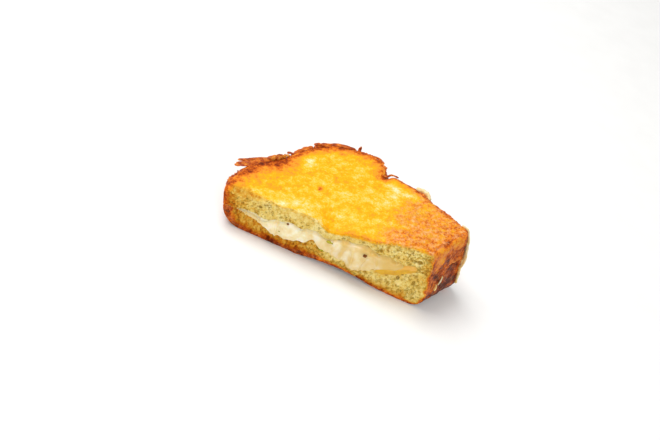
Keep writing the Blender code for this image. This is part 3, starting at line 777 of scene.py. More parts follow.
def upper_masks(rings, parts, pore):
    """Masks of the upper slice: griddled top with its torn strip, crust, seam face and cut."""
    x, y, z = np.moveaxis(rings, -1, 0)
    top, crust, inside, cut = (part_weight(parts, part, 1) for part in (TOP, CRUST, UNDER, CUT))
    curl = CURL[2] * hump(x, *CURL[:2]) + CURL_END * ramp(x, 104.0, 120.0) + 0.5 * cloud(rings, 4.0, 33)
    crumb, left, right = cut_masks(rings, parts, (top_height(x, 0.0) - z - curl - 0.1) / 2.6, UPPER_CRUST)
    frayed = frayed_share(rings)
    crumb += top * frayed
    frayed_tone = 0.40 + 0.12 * cloud(rings, 3.0, 28) - 0.20 * ramp(x, 8.0, 42.0)
    # The torn strip's pore mask, which gets painted shade in the material.
    frayed_pore = frayed * top * (0.28 + 0.30 * cloud(rings, 2.2, 24))
    buttery = bell(x, BUTTERY[0][0], BUTTERY[1][0]) * bell(z, BUTTERY[0][1], BUTTERY[1][1])
    soaked = np.maximum(soaked_share(rings), 0.8 * buttery)
    side = 0.76 + 0.18 * cloud(rings, 8.0, 34) + 0.13 * cloud(rings, 3.4, 35) + 0.05 * ramp(x, 24.0, 4.0)
    # At the base end the crust is paler near the top: partly painted light.
    side -= 0.11 * ramp(x, 120.0, 145.0) * smooth(1.0 - (top_height(x, y) - z) / 16.0)
    # The crumb darkens over the 42 mm at the crown end: partly browning, partly painted shade.
    shade = 0.15 + 0.16 * ramp(x, 42.0, 8.0) + 0.07 * cloud(rings, 6.0, 36) + 0.10 * bell(x, 59.0, 7.0)
    shade += 0.40 * bell(left, 0.0, 7.5) + 0.32 * bell(right, 0.0, 4.2) - 0.15 * buttery
    edge_tone = 0.42 + 0.06 * ramp(x, 100.0, 120.0) + 0.10 * hump(x, 96.0, 24.0)
    edge_tone += 0.40 * bell(left, 0.0, 6.0) + 0.24 * bell(right, 0.0, 6.0)
    tone = top * (top_tone(rings) * (1.0 - frayed) + frayed_tone * frayed) + crust * side + 0.2 * inside
    tone += cut * (crumb * shade + (1.0 - crumb) * edge_tone)
    return {"crumb": crumb + inside, "tone": tone,
            "pore": np.maximum(pore, frayed_pore) * (1.0 - 0.7 * soaked),
            "coarse": coarse_share(x, y) * (1.0 - 0.8 * crust),
            # The fried mask places the skin's painted glints.
            "fried": coarse_share(x, y) * (1.0 - 0.75 * crust)}


print("share of the upper slice's rings that lie on the cut:", round(float((upper_parts == CUT).mean()), 2))

# %% [markdown]
# ## Masks of the lower slice
# The lower slice's cut is browner than the upper one's, most at its foot and at the crown end, its crust
# goes further in, and its underside is as brown as its crust. The brown of the cut is partly toasting and
# partly painted shade from the other half, which it leaned on.

# %% Masks of the lower slice
LOWER_CRUST = 4.0             # how far in from the crown end's crust the crumb starts


def lower_masks(rings, parts, pore):
    """Masks of the lower slice: seam face, crust and underside alike, and the browner cut, which is partly
    painted shade.
    """
    x, _, z = np.moveaxis(rings, -1, 0)
    inside, crust, under, cut = (part_weight(parts, part, 1) for part in (TOP, CRUST, UNDER, CUT))
    rise = z - bottom_height(x, 0.0)
    skin = (rise - 1.3 + 0.9 * cloud(rings, 3.4, 37)) / 1.8
    crumb, left, right = cut_masks(rings, parts, skin, LOWER_CRUST)
    side = 0.82 + 0.17 * cloud(rings, 8.0, 38) + 0.13 * cloud(rings, 3.4, 39)
    # The first term darkens the crust towards the floor: partly painted shade.
    side += 0.12 * ramp(z, 20.0, 4.0) - 0.07 * ramp(x, 24.0, 4.0) + 0.03 * ramp(x, 120.0, 145.0)
    left_share, right_share = ramp(x, 92.0, 56.0), ramp(x, 92.0, 106.0)
    # The cut darkens towards the crown end, here and in the edge tone below: partly toasting, partly painted
    # shade of the other half.
    shade = 0.15 + 0.29 * left_share + 0.06 * cloud(rings, 8.0, 40)
    shade += 0.11 * left_share * cloud(rings * (1.0, 1.0, 0.6), 1.3, 25)
    # A dark band along the foot: partly toasted crust, partly painted contact shade.
    shade += (0.36 + 0.16 * left_share) * bell(rise, 0.0, 2.8 + 1.8 * left_share)
    shade += 0.60 * right_share * bell(rise, 0.0, 4.5) * smooth(0.5 + 1.6 * cloud(rings, 5.5, 94))
    shade += 0.38 * bell(left, 0.0, 5.0) + 0.26 * bell(right, 0.0, 2.6)
    edge_tone = 0.80 + 0.12 * left_share - 0.06 * bell(left, 0.0, 14.0)
    tone = (crust + under) * side + 0.2 * inside + cut * (crumb * shade + (1.0 - crumb) * edge_tone)
    return {"crumb": crumb + inside, "tone": tone, "pore": pore,
            # A few painted glints on the lower slice as well.
            "coarse": np.full(x.shape, 0.2), "fried": np.full(x.shape, 0.28)}


print("share of the lower slice's rings that lie on the cut:", round(float((lower_parts == CUT).mean()), 2))

# %% [markdown]
# ## Griddled bread
# Buttered white pan bread browns in steps: butter yellow, gold, orange, red-brown. One ramp gives these
# for the skin, and a second gives the crumb, from pale cream to brown. Small grains come from noise in
# the material, because the mesh is too coarse for them. Where the skin fried hard it carries pale peach
# spots, which are painted glints of its greasy surface. In the crumb the walls between the pores get a
# painted highlight, and the pores get painted shade. Fried skin is oily and has a low gloss, and open crumb
# is dull.

# %% Patterns and colours of bread
GRAIN = 0.0013                # m, a fried crumb on the skin, drawn coarser than real so that it shows
FINE_PORE = 0.0012            # m, the smallest pores, drawn coarser than real so that they show
NOISES = {                    # size of a lump in m, detail, roughness, distortion
    "grain": (GRAIN, 2.0, 0.6, 0.0), "mottle": (3.4 * GRAIN, 3.0, 0.55, 0.0),
    "spots": (2.4 * GRAIN, 5.0, 0.75, 0.0), "holes": (1.5 * FINE_PORE, 2.0, 0.5, 0.4),
    "swarm": (7.0 * FINE_PORE, 2.0, 0.5, 0.0)}
SKIN_COLOURS = (
    (0.0, "#F6E6B8"), (0.12, "#F4D68C"), (0.26, "#F3C44C"), (0.36, "#F2B618"), (0.46, "#F0A606"),
    (0.58, "#E8962A"), (0.70, "#DE7416"), (0.84, "#A84408"), (1.0, "#541804"))
CRUMB_COLOURS = (
    (0.0, "#F0DC94"), (0.16, "#E1C366"), (0.34, "#D6A43C"), (0.55, "#C07612"), (0.75, "#A84A06"),
    (0.95, "#762604"))
# Painted shade in the pores, darker as the crumb browns.
PORE_SHADE_COLOURS = ((0.15, "#A07C1E"), (0.45, "#94601A"), (0.75, "#6A2C08"))


def bread_skin(tree, masks, noise, level):
    """The skin's ramp by level, mixed with pale peach spots, which are painted glints, where the fried mask
    allows them.
    """
    skin = add_node(tree, "ShaderNodeValToRGB", {0: level}, stops=SKIN_COLOURS)
    # Pale peach spots on the fried skin: painted glints.
    spotted = add_node(tree, "ShaderNodeMapRange", {0: noise["spots"], 1: 0.48, 2: 0.68, 3: 0.0, 4: 0.85})
    spotted = add_node(tree, "ShaderNodeMath", {0: spotted.outputs[0], 1: masks["fried"]},
                       operation="MULTIPLY")
    return add_node(tree, "ShaderNodeMix", {0: spotted.outputs[0], 6: skin.outputs[0], 7: linear("#F3BC80")},
                    data_type="RGBA").outputs[2]


def bread_crumb(tree, masks, noise, level):
    """The crumb's ramp by level, with a painted highlight on the walls and painted shade in the pores. Also
    how deep a place lies in a pore.
    """
    crumb = add_node(tree, "ShaderNodeValToRGB", {0: level}, stops=CRUMB_COLOURS)
    crowd = add_node(tree, "ShaderNodeMath", {0: noise["swarm"], 1: 0.45, 2: noise["holes"]},
                     operation="MULTIPLY_ADD")
    wall = add_node(tree, "ShaderNodeMapRange", {0: crowd.outputs[0], 1: 0.72, 2: 0.52, 3: 0.0, 4: 0.42})
    pale = add_node(tree, "ShaderNodeMapRange", {0: level, 1: 0.18, 2: 0.45, 3: 1.0, 4: 0.0})
    wall = add_node(tree, "ShaderNodeMath", {0: wall.outputs[0], 1: pale.outputs[0]}, operation="MULTIPLY")
    # Painted highlight on the walls between the pores.
    lit = add_node(tree, "ShaderNodeMix", {0: wall.outputs[0], 6: crumb.outputs[0], 7: linear("#EDD88E")},
                   data_type="RGBA")
    # Painted shade in the pores: the mesh's own pores, and finer ones that are only noise.
    small = add_node(tree, "ShaderNodeMapRange", {0: crowd.outputs[0], 1: 0.775, 2: 0.92, 3: 0.0, 4: 0.9})
    hollow = add_node(tree, "ShaderNodeMath", {0: masks["pore"], 1: small.outputs[0]}, operation="MAXIMUM")
    shadow = add_node(tree, "ShaderNodeMapRange", {0: hollow.outputs[0], 1: 0.15, 2: 0.85, 3: 0.0, 4: 0.72})
    inner = add_node(tree, "ShaderNodeValToRGB", {0: level}, stops=PORE_SHADE_COLOURS)
    deep = add_node(tree, "ShaderNodeMix", {0: shadow.outputs[0], 6: lit.outputs[2], 7: inner.outputs[0]},
                    data_type="RGBA")
    return deep.outputs[2], hollow.outputs[0]


print("bread patterns, mm:", {name: round(size / MM, 1) for name, (size, *_) in NOISES.items()})

# %% [markdown]
# ## The bread material
# The level that both ramps read is the tone mask, stirred by a fine grain, which is stronger where the skin
# is coarse, and by a broader mottle. The same patterns lift the surface a little as a bump. Bread is a foam
# with a matt surface, so its index is that of starch, its reflection is weak and a little light goes into
# it. Both slices are of the same bread. Each has its own material, because they fill two slots.

# %% Bread material
def griddled_bread(name):
    """Skin and crumb colours by the level, mixed by the crumb mask, over a bump of grain and pores."""
    material, tree, shader, place = new_material(name)
    masks = {mask: add_node(tree, "ShaderNodeAttribute", attribute_name=mask).outputs["Fac"]
             for mask in ("crumb", "tone", "pore", "coarse", "fried")}
    noise = {}
    for pattern, (size, detail, rough, bent) in NOISES.items():
        noise[pattern] = add_node(tree, "ShaderNodeTexNoise", {
            "Vector": place, "Scale": 1.0 / size, "Detail": detail, "Roughness": rough,
            "Distortion": bent}).outputs[0]
    swing = add_node(tree, "ShaderNodeMapRange", {0: masks["coarse"], 3: 0.45, 4: 0.66})
    fine = add_node(tree, "ShaderNodeMath", {0: noise["grain"], 1: 0.5}, operation="SUBTRACT")
    fine = add_node(tree, "ShaderNodeMath", {0: fine.outputs[0], 1: swing.outputs[0]}, operation="MULTIPLY")
    blotch = add_node(tree, "ShaderNodeMath", {0: noise["mottle"], 1: 0.5}, operation="SUBTRACT")
    blotch = add_node(tree, "ShaderNodeMath", {0: blotch.outputs[0], 1: 0.60, 2: fine.outputs[0]},
                      operation="MULTIPLY_ADD")
    level = add_node(tree, "ShaderNodeMath", {0: masks["tone"], 1: blotch.outputs[0]}, operation="ADD")
    skin = bread_skin(tree, masks, noise, level.outputs[0])
    crumb, hollow = bread_crumb(tree, masks, noise, level.outputs[0])
    colour = add_node(tree, "ShaderNodeMix", {0: masks["crumb"], 6: skin, 7: crumb}, data_type="RGBA")
    tree.links.new(colour.outputs[2], shader.inputs["Base Color"])
    gloss = add_node(tree, "ShaderNodeMapRange", {0: masks["crumb"], 3: 0.42, 4: 0.85})
    tree.links.new(gloss.outputs[0], shader.inputs["Roughness"])
    relief = add_node(tree, "ShaderNodeMath", {0: noise["grain"], 1: 0.6, 2: noise["mottle"]},
                      operation="MULTIPLY_ADD")
    relief = add_node(tree, "ShaderNodeMath", {0: relief.outputs[0], 1: hollow}, operation="SUBTRACT")
    strength = add_node(tree, "ShaderNodeMapRange", {0: masks["coarse"], 3: 0.35, 4: 0.8})
    strength = add_node(tree, "ShaderNodeMath", {0: masks["crumb"], 1: 0.5, 2: strength.outputs[0]},
                        operation="MULTIPLY_ADD", use_clamp=True)
    bump = add_node(tree, "ShaderNodeBump", {
        "Height": relief.outputs[0], "Strength": strength.outputs[0], "Distance": 0.0006})
    tree.links.new(bump.outputs[0], shader.inputs["Normal"])
    shader.inputs["IOR"].default_value = 1.45
    shader.inputs["Specular IOR Level"].default_value = 0.10
    shader.inputs["Subsurface Weight"].default_value = 0.08
    shader.inputs["Subsurface Radius"].default_value = (1.0, 0.45, 0.15)
    shader.inputs["Subsurface Scale"].default_value = 0.0015
    return material


upper_bread = griddled_bread("griddled_pan_bread")
lower_bread = griddled_bread("griddled_pan_bread_under")
print("bread materials:", upper_bread.name, lower_bread.name)

# %% [markdown]
# ## The two slices
# Relief, masks and material come together here. The masks are worked out before the relief moves the
# points, so that a pore's colour lies in the pore. The lower slice is kept from sinking into the floor.

# %% Upper and lower slice
shape, pore = slice_relief(upper_rings, upper_parts)
mesh = mesh_from("upper_slice", shape, grid_triangles(len(shape), SECTIONS),
                 upper_masks(upper_rings, upper_parts, pore))
add_piece("upper_slice", mesh, upper_bread, "toasted_bread", "bread_top")
shape, pore = slice_relief(lower_rings, lower_parts)
shape[..., 2] = np.maximum(shape[..., 2], 0.0)
mesh = mesh_from("lower_slice", shape, grid_triangles(len(shape), SECTIONS),
                 lower_masks(lower_rings, lower_parts, pore))
add_piece("lower_slice", mesh, lower_bread, "toasted_bread_under", "bread_bottom")

# %% [markdown]
# ## The melted cheeses
# Melted cheese swells out of the cut, clings to the upper slice in lips and runs down over the lower one.
# Its front is a smooth curve through nine points, carried along the cut. Towards the crown end the white
# cheese thins to a line. The yellow cheese shows as a thin band under the white at the base end, with a
# lip of its own.

# %% Cheese shapes
CHEESE_DEPTH = 0.86           # share of the way in that the filling reaches
WHITE_SHARES, YELLOW_SHARES = (0.055, 0.905), (0.72, 0.932)   # where each one shows, as shares of the cut
GAP = 0.45                    # between a cheese and the bread over or under it
YELLOW_PART, YELLOW_GROWS = (0.30, 0.60), (110.0, 140.0)   # share of the filling: least, more; from where
WHITE_BULGE, YELLOW_BULGE, DRIP_BULGE, FRONT_ROUNDING = 1.8, 1.1, 2.0, 3.6
DRIPS = ((101.0, 15.0, 5.2), (87.0, 9.0, 1.0), (46.0, 14.0, 0.8), (116.0, 9.0, 3.2))   # place, reach, length
LIPS = ((100.0, 18.0, 3.8), (49.0, 9.0, 1.6), (66.0, 8.0, 1.0))
YELLOW_DRIPS, YELLOW_LIPS = ((138.0, 16.0, 0.8), (119.0, 9.0, 2.4)), ((139.0, 15.0, 3.2),)


def curve_through(controls, steps):
    """A Catmull-Rom curve along the first axis: each span is a cubic of the four nearest points."""
    padded = np.concatenate([controls[:1], controls, controls[-1:]])
    share = np.linspace(0.0, 1.0, steps, endpoint=False)[:, None, None]
    spans = []
    for i in range(len(controls) - 1):
        a, b, c, d = padded[i:i + 4]
        spans.append(0.5 * (2 * b + (c - a) * share + (2 * a - 5 * b + 4 * c - d) * share ** 2
                            + (3 * b - a - 3 * c + d) * share ** 3))
    return np.concatenate([*spans, controls[-1:]])


def layer_ring(depth, way, low, high):
    """A ring inside the seam, a share of the way from one height formula to the other."""
    plan = plan_points(SEAM_RIM, depth)
    x, y = plan[:, 0], plan[:, 1]
    under = low(x, y, depth)
    over = np.maximum(high(x, y, depth), under + 0.1)
    return place_points(plan, under + way * (over - under))


def melt_rings(low, high, bulge, drip, lip):
    """Rings from the back over the layer, down its swollen front and back under it."""
    depths = np.linspace(0.0, 1.0, 12) ** 1.4 * CHEESE_DEPTH
    over = [layer_ring(depth, 1.0, low, high) for depth in depths[::-1]]
    under = [layer_ring(depth, 0.0, low, high) for depth in depths]
    top, foot = over[-1], under[0]
    rounding = 0.25 * np.minimum(top[:, 2] - foot[:, 2], FRONT_ROUNDING)
    shapes = (                # where from, least reach, share of the bulge, lift
        (top, -0.5, 0.0, lip + 0.8), (top, 0.35, 0.35, lip - 0.5 * rounding),
        (top, 0.5, 0.8, 0.7 * lip - 1.3 * rounding),
        (0.5 * (top + foot), 0.5, 1.0, 0.1 * lip - 0.4 * drip),
        (foot, 0.5, 1.0, rounding - 0.75 * drip), (foot, 0.5, 0.7, -drip), (foot, 0.2, 0.1, -0.95 * drip))
    front = [top]
    for base, least, share, lift in shapes:
        moved = base.copy()
        moved[:, 1] -= least + share * bulge
        moved[:, 2] += lift
        front.append(moved)
    front = curve_through(np.array(front + [foot]), 6)
    return np.concatenate([over[:-1], front, under[1:]])


def closed_ends(rings, reach):
    """Draw the first and last sections of a tube of rings together, along a quarter circle, to a point."""
    step = np.minimum(np.arange(rings.shape[1]), np.arange(rings.shape[1])[::-1]) / reach
    size = np.sqrt(1.0 - (1.0 - np.clip(step, 0.0, 1.0)) ** 2)[:, None]
    middle = rings.mean(axis=0)
    return middle + size * (rings - middle)


print("points down the front:", len(curve_through(np.zeros((9, 1, 3)), 6)))

# %% [markdown]
# ## Where each cheese shows
# The drips, the lips and the yellow layer are placed along the cut. A section's place on the cut is worked
# out once under the upper slice, and all the cheeses use it.


# %% Places of the cheeses
def front_places():
    """Where each section meets the cut under the upper slice."""
    plan = plan_points(SEAM_RIM, 0.0)
    return place_points(plan, SEAM_LEFT + SEAM_SLOPE * plan[:, 0])[:, 0]


def yellow_top(x, y, depth):
    """The yellow layer's upper side: a growing share of the filling, between its own sections only."""
    first, last = YELLOW_SHARES
    inside = ramp(SHARE, first, first + 0.02) * ramp(SHARE, last, last - 0.02)
    part = YELLOW_PART[0] + YELLOW_PART[1] * ramp(x, *YELLOW_GROWS)
    low, high = fill_height(x, y, depth), seam_height(x, y)
    return low + inside * part * np.maximum(high - low - 2.0 * GAP, 0.0)


def shown(shares):
    """The sections between two shares of the cut."""
    return np.nonzero((SHARE >= shares[0]) & (SHARE <= shares[1]))[0]


print("sections that show white cheese:", len(shown(WHITE_SHARES)))

# %% [markdown]
# ## Folds and ends
# As it cools, the melt wrinkles in soft folds a few millimetres apart, which are stretched along the way
# it ran, with a sharper crease here and there. The folds fade out where the melt goes in under the bread.
# The ends are drawn together to a point, so that each cheese is a closed body.

# %% White and yellow melt
WHITE_END, YELLOW_END = 14.0, 8.0   # sections over which the ends are drawn together
THIN_LINE = (0.25, 0.75)      # at the crown end only a thin line shows: least share, and the rest


def fold_fade(points):
    """1 in front of the cut, eased to 0 half a millimetre behind it."""
    return ramp(points[..., 1], 1.5, -0.5)


cut_x = front_places()
drip = lobes(cut_x, DRIPS)
first, last = WHITE_SHARES
taper = ramp(SHARE, first, first + 0.08) * ramp(SHARE, last, last - 0.12)
bulge = (WHITE_BULGE + DRIP_BULGE * np.clip(drip / DRIPS[0][2], 0.0, 1.0)) * (0.3 + 0.7 * taper)
slim = THIN_LINE[0] + THIN_LINE[1] * ramp(cut_x, 18.0, 38.0)
white = melt_rings(lambda x, y, depth: yellow_top(x, y, depth) + 0.3,
                   lambda x, y, depth: seam_height(x, y) - 0.15,
                   bulge, slim * (drip + 0.5), slim * (0.9 + lobes(cut_x, LIPS)))[:, shown(WHITE_SHARES)]
white_folds = 0.95 * cloud(white * (1.0, 0.2, 0.30), 5.0, 91) + 0.55 * cloud(white * (1.0, 0.3, 0.4), 2.4, 92)
white_folds -= 0.9 * smooth(1.0 - 5.0 * np.abs(cloud(white * (1.0, 0.3, 0.45), 8.0, 93)))
white = closed_ends(white + (white_folds * fold_fade(white))[..., None] * grid_normals(white), WHITE_END)
yellow = melt_rings(lambda x, y, depth: fill_height(x, y, depth) + 0.2,
                    lambda x, y, depth: yellow_top(x, y, depth) + 0.1,
                    np.full(SECTIONS, YELLOW_BULGE), 0.8 + lobes(cut_x, YELLOW_DRIPS),
                    0.3 + lobes(cut_x, YELLOW_LIPS))[:, shown(YELLOW_SHARES)]
folds = (0.35 * cloud(yellow, 4.0, 95) + 0.2 * cloud(yellow, 1.8, 96)) * fold_fade(yellow)
yellow = closed_ends(yellow + folds[..., None] * grid_normals(yellow), YELLOW_END)
print("white grid:", white.shape, "yellow grid:", yellow.shape)

# %% [markdown]
# ## Cheese material
# Melted cheese is a smooth fat emulsion: light goes a few millimetres into it, so its shadows are soft and
# warm, and it has a clear wet gloss. Its colour drifts from cream to ivory over about 5 mm, and is yellower
# where butterfat gathers: at both ends and along the seam. In the creases of its folds it is yellower as
# painted shade, and on their ridges whiter as painted highlight. The whiter milky spots are partly whiter
# cheese and partly painted highlights, and the yellow cheese is paler at its top as a painted highlight.

# %% Cheese material
CHEESE_DRIFT, CHEESE_SKIN = 0.005, 0.0022   # m, between two tones, and between two wrinkles of the skin
# Whiter spots: partly whiter cheese, partly painted highlights.
MILKY_AND_HIGHLIGHT_SPOTS = (                     # place, reach, how much whiter
    ((39.0, 15.8), (9.0, 5.0), 0.3), ((53.7, 17.3), (6.0, 4.0), 0.4), ((86.5, 22.5), (3.5, 4.5), 0.4),
    ((99.0, 22.5), (6.0, 5.0), 0.3))


def melted_cheese(name, tones, butter_and_painted_light, roughness, depth):
    """A drifting cream colour, yellower where its mask of butterfat and painted light says, under a wet
    gloss.
    """
    material, tree, shader, place = new_material(name)
    drift = add_node(tree, "ShaderNodeTexNoise",
                     {"Vector": place, "Scale": 1.0 / CHEESE_DRIFT, "Detail": 2.0})
    colour = add_node(tree, "ShaderNodeValToRGB", {0: drift.outputs[0]},
                      stops=tuple(zip((0.30, 0.52, 0.72), tones)))
    mask = add_node(tree, "ShaderNodeAttribute", attribute_name="butter_and_painted_light")
    warm = add_node(tree, "ShaderNodeMix", {0: mask.outputs["Fac"], 6: colour.outputs[0], 7: linear(butter_and_painted_light)},
                    data_type="RGBA")
    tree.links.new(warm.outputs[2], shader.inputs["Base Color"])
    skin = add_node(tree, "ShaderNodeTexNoise", {"Vector": place, "Scale": 1.0 / CHEESE_SKIN, "Detail": 3.0})
    bump = add_node(tree, "ShaderNodeBump", {"Height": skin.outputs[0], "Strength": 0.45, "Distance": 0.0006})
    tree.links.new(bump.outputs[0], shader.inputs["Normal"])
    shader.inputs["Roughness"].default_value = roughness
    shader.inputs["IOR"].default_value = 1.46
    shader.inputs["Subsurface Weight"].default_value = 0.35
    shader.inputs["Subsurface Radius"].default_value = (1.0, 0.75, 0.45)
    shader.inputs["Subsurface Scale"].default_value = depth
    return material


def butter_share(points, folds):
    """How yellow the cheese is: more towards both ends, and in the creases as painted shade; less on the
    ridges as painted highlight, and in the milky spots, which are partly whiter cheese and partly painted
    highlights.
    """
    x, z = points[..., 0], points[..., 2]
    share = 0.10 + 0.42 * ramp(x, 56.0, 92.0) + 0.40 * ramp(x, 108.0, 126.0) + 0.55 * ramp(x, 40.0, 24.0)
    share += 0.30 * smooth((z - seam_height(x, 0.0) + 0.8) / 1.8) * ramp(x, 52.0, 72.0)
    # Yellower in the creases and whiter on the ridges of the folds: painted shade and painted highlight.
    share += 0.30 * cloud(points, 5.0, 97) - 0.25 * folds
    return np.clip(share - patches(x, z, MILKY_AND_HIGHLIGHT_SPOTS), 0.0, 1.0)


white_cheese = melted_cheese("melted_white_cheese", ("#E8CE94", "#F0E2B6", "#F5EFDC"), "#DAB664",
                             roughness=0.26, depth=0.003)
# The yellow cheese's second colour is a painted highlight along its top.
yellow_cheese = melted_cheese("melted_yellow_cheese", ("#CE980E", "#D8A410", "#DEB01C"), "#F2BA5C",
                              roughness=0.30, depth=0.002)
mesh = mesh_from("white_melt", white, grid_triangles(*white.shape[:2]),
                 {"butter_and_painted_light": butter_share(white, white_folds)})
add_piece("white_melt", mesh, white_cheese, "white_cheese", "cheese_white")
# Paler towards the top of the yellow band: a painted highlight.
top_highlight = smooth((yellow[..., 2] - yellow.mean(axis=0)[:, 2]) / 1.4 + 0.2 + 0.5 * cloud(yellow, 4.0, 98))
mesh = mesh_from("yellow_melt", yellow, grid_triangles(*yellow.shape[:2]), {"butter_and_painted_light": 0.65 * top_highlight})
add_piece("yellow_melt", mesh, yellow_cheese, "yellow_cheese", "cheese_yellow")

# %% [markdown]
# ## Crisp cheese lace
# Where cheese ran out on to the griddle it fried to thin brown shreds, which cling to the crust and stick out
# here and there. A shred is a flat ribbon along a curve through a few points. Each point is given by its
# share of the crust's run, its reach outwards and its rise over the edge. The width wavers, the edges
# are ragged and both ends close.

# %% Shred shapes
SHRED_THICKNESS = 1.1
SHREDS = (                    # width, then (share, reach, rise) points
    (2.6, (0.192, 0.9, -0.8), (0.166, 2.7, -0.9), (0.150, 4.2, -0.9), (0.135, 5.6, -1.0), (0.117, 9.4, -1.3)),
    (4.2, (0.160, -3.5, -1.6), (0.137, 2.6, -1.2), (0.124, 6.8, -1.8)),
    (3.8, (0.140, -3.5, -2.0), (0.118, 2.0, -1.2), (0.097, 6.2, -1.2)),
    (2.2, (0.128, 1.0, -1.6), (0.118, 4.5, -1.0), (0.106, 7.2, -1.6)),
    (4.0, (0.116, -1.0, -1.2), (0.150, 0.4, -0.8), (0.198, 0.3, -0.6)),
    (2.6, (0.155, -0.2, -1.5), (0.185, 1.0, -0.2), (0.222, 0.9, 0.5)),
    (2.2, (0.262, -3.0, -1.2), (0.253, 1.0, -0.4), (0.243, 2.4, -0.2)),
    (3.6, (0.250, -1.0, -1.6), (0.280, 0.3, -0.9), (0.322, 0.5, -0.7)),
    (3.6, (0.322, -1.4, -0.8), (0.345, 0.5, -0.4), (0.390, 0.6, -0.4), (0.437, 0.2, -0.6)),
    (2.2, (0.352, -1.0, -0.2), (0.340, 1.0, 0.5), (0.326, 1.8, 0.2)),
    (2.6, (0.446, -3.0, -2.0), (0.448, 0.3, 0.2), (0.450, 1.0, 2.4)),
    (2.4, (0.470, -1.6, -1.4), (0.500, 0.9, -0.9), (0.524, 0.8, -1.0)),
    (2.2, (0.530, -3.0, -1.2), (0.540, 1.3, -1.0)),
    (1.8, (0.574, -3.0, -0.6), (0.592, 0.6, -0.1), (0.608, 1.4, -0.5), (0.624, 1.0, -1.0)))


def edge_point(share, reach, rise, height=top_height):
    """A place beside the crust line, at a height over the top's edge or the underside's."""
    x, y = (np.interp(share, SHARE, OUTLINE[:, i] + reach * OUTWARD[:, i]) for i in (0, 1))
    return place_points(np.array([[x, y]]), height(x, y) + rise)[0]


def ribbon(points, width, seed, stations=30, around=10, thickness=SHRED_THICKNESS, face=(0.15, 0.1, 1.0)):
    """A flat oval along a curve: cosine times half the width across, sine times half the thickness up.

    Noise makes the width waver and its edges ragged, and a root of a power draws both ends together.
    """
    spans = max(1, (stations - 1) // (len(points) - 1))
    path = curve_through(np.array(points)[:, None, :], spans)[:, 0]
    along = np.gradient(path, axis=0)
    along /= np.linalg.norm(along, axis=1)[:, None]
    across = np.cross(along, face)
    across /= np.linalg.norm(across, axis=1)[:, None]
    up = np.cross(across, along)
    run = np.linspace(0.0, 1.0, len(path))
    waver = 1.0 + 0.30 * cloud(path, 2.4, seed) + 0.18 * cloud(path, 1.1, seed + 1)
    size = np.sqrt(np.clip(1.0 - np.abs(2.0 * run - 1.0) ** 7, 0.0, 1.0)) * waver
    turn = np.linspace(0.0, 2.0 * math.pi, around, endpoint=False)
    flat = np.sign(np.cos(turn)) * np.abs(np.cos(turn)) ** 0.7
    rings = (path[None] + 0.5 * width * (flat[:, None] * size)[..., None] * across
             + 0.5 * thickness * (np.sin(turn)[:, None] * np.sqrt(size))[..., None] * up)
    rag = 0.16 * cloud(rings, 0.9, seed + 2) * size
    return rings + rag[..., None] * (rings - path) / max(0.5 * width, 0.5)


grids = [ribbon([edge_point(*point) for point in points], width, 200 + 5 * i)
         for i, (width, *points) in enumerate(SHREDS)]
print("named shreds:", len(grids))

# %% [markdown]
# ## Stray shreds and crumbs
# Between the large shreds the crust carries stray ones, on the upper slice's side and on the lower one's,
# and a rim of small fried crumbs. Their places are drawn by chance, each kind from the same seed, and
# each shred has its root in the bread, so that none hangs in the air.

# %% Stray shreds and crumbs
RANDOM_SEED = 7
STRAYS = (   # number, spans of share and rise, the tip's stray, reach and drop, spans of width, seed, edge
    (12, (0.06, 0.56), (-8.0, -2.0), 0.02, (1.4, 3.2), 1.0, (1.5, 2.4), 300, top_height),
    (8, (0.08, 0.54), (8.0, 12.0), 0.015, (1.2, 2.4), 1.5, (1.6, 2.4), 400, bottom_height))
CRUMBS, CRUMB_SHARES = 170, (0.04, 0.60)


def stray_shreds(draw, count, shares, rises, stray, reaches, drop, widths, seed, height):
    """Short shreds at random places of the crust, each with its root inside and its tip outside."""
    made = []
    for i in range(count):
        share, rise = draw.uniform(*shares), draw.uniform(*rises)
        tip = (share + draw.uniform(-stray, stray), draw.uniform(*reaches), rise - drop)
        points = [edge_point(share, -2.5, rise, height), edge_point(*tip, height)]
        made.append(ribbon(points, draw.uniform(*widths), seed + 5 * i, stations=14))
    return made


def rim_crumbs(draw):
    """Many small shreds that lie along the crust's upper edge and on its side."""
    made = []
    for i in range(CRUMBS):
        share = draw.uniform(*CRUMB_SHARES)
        rise = draw.choice((-1.6, -2.6, draw.uniform(-14.0, -3.0)))
        turn, reach = draw.uniform(-0.012, 0.012), draw.uniform(-0.6, 0.3)
        points = [edge_point(share, reach, rise),
                  edge_point(share + turn, reach + draw.uniform(0.2, 0.9), rise + draw.uniform(-2.2, 0.5))]
        made.append(ribbon(points, draw.uniform(0.7, 1.7), 500 + 3 * i, stations=6, around=6))
    return made


for strays in STRAYS:
    grids += stray_shreds(random.Random(RANDOM_SEED), *strays)
grids += rim_crumbs(random.Random(RANDOM_SEED))
print("shreds and crumbs:", len(grids))

# %% [markdown]
# ## Rolls of fried cheese
# Under the crumbs a lumpy roll of fried cheese runs along the top's edge, in two stretches that meet at
# the notch, and another fills the seam all round. A roll is a tube whose radius wanders.

# %% Rolls
RIM_REACH, RIM_DROP = -0.5, 1.9   # where the roll of fried crumbs lies at the edge
RIM_SPANS = ((0.015, 0.60, 700), (0.60, 0.865, 710))   # start, end, seed
SEAM_REACH = -0.9
ROLL_FLATNESS = 0.85


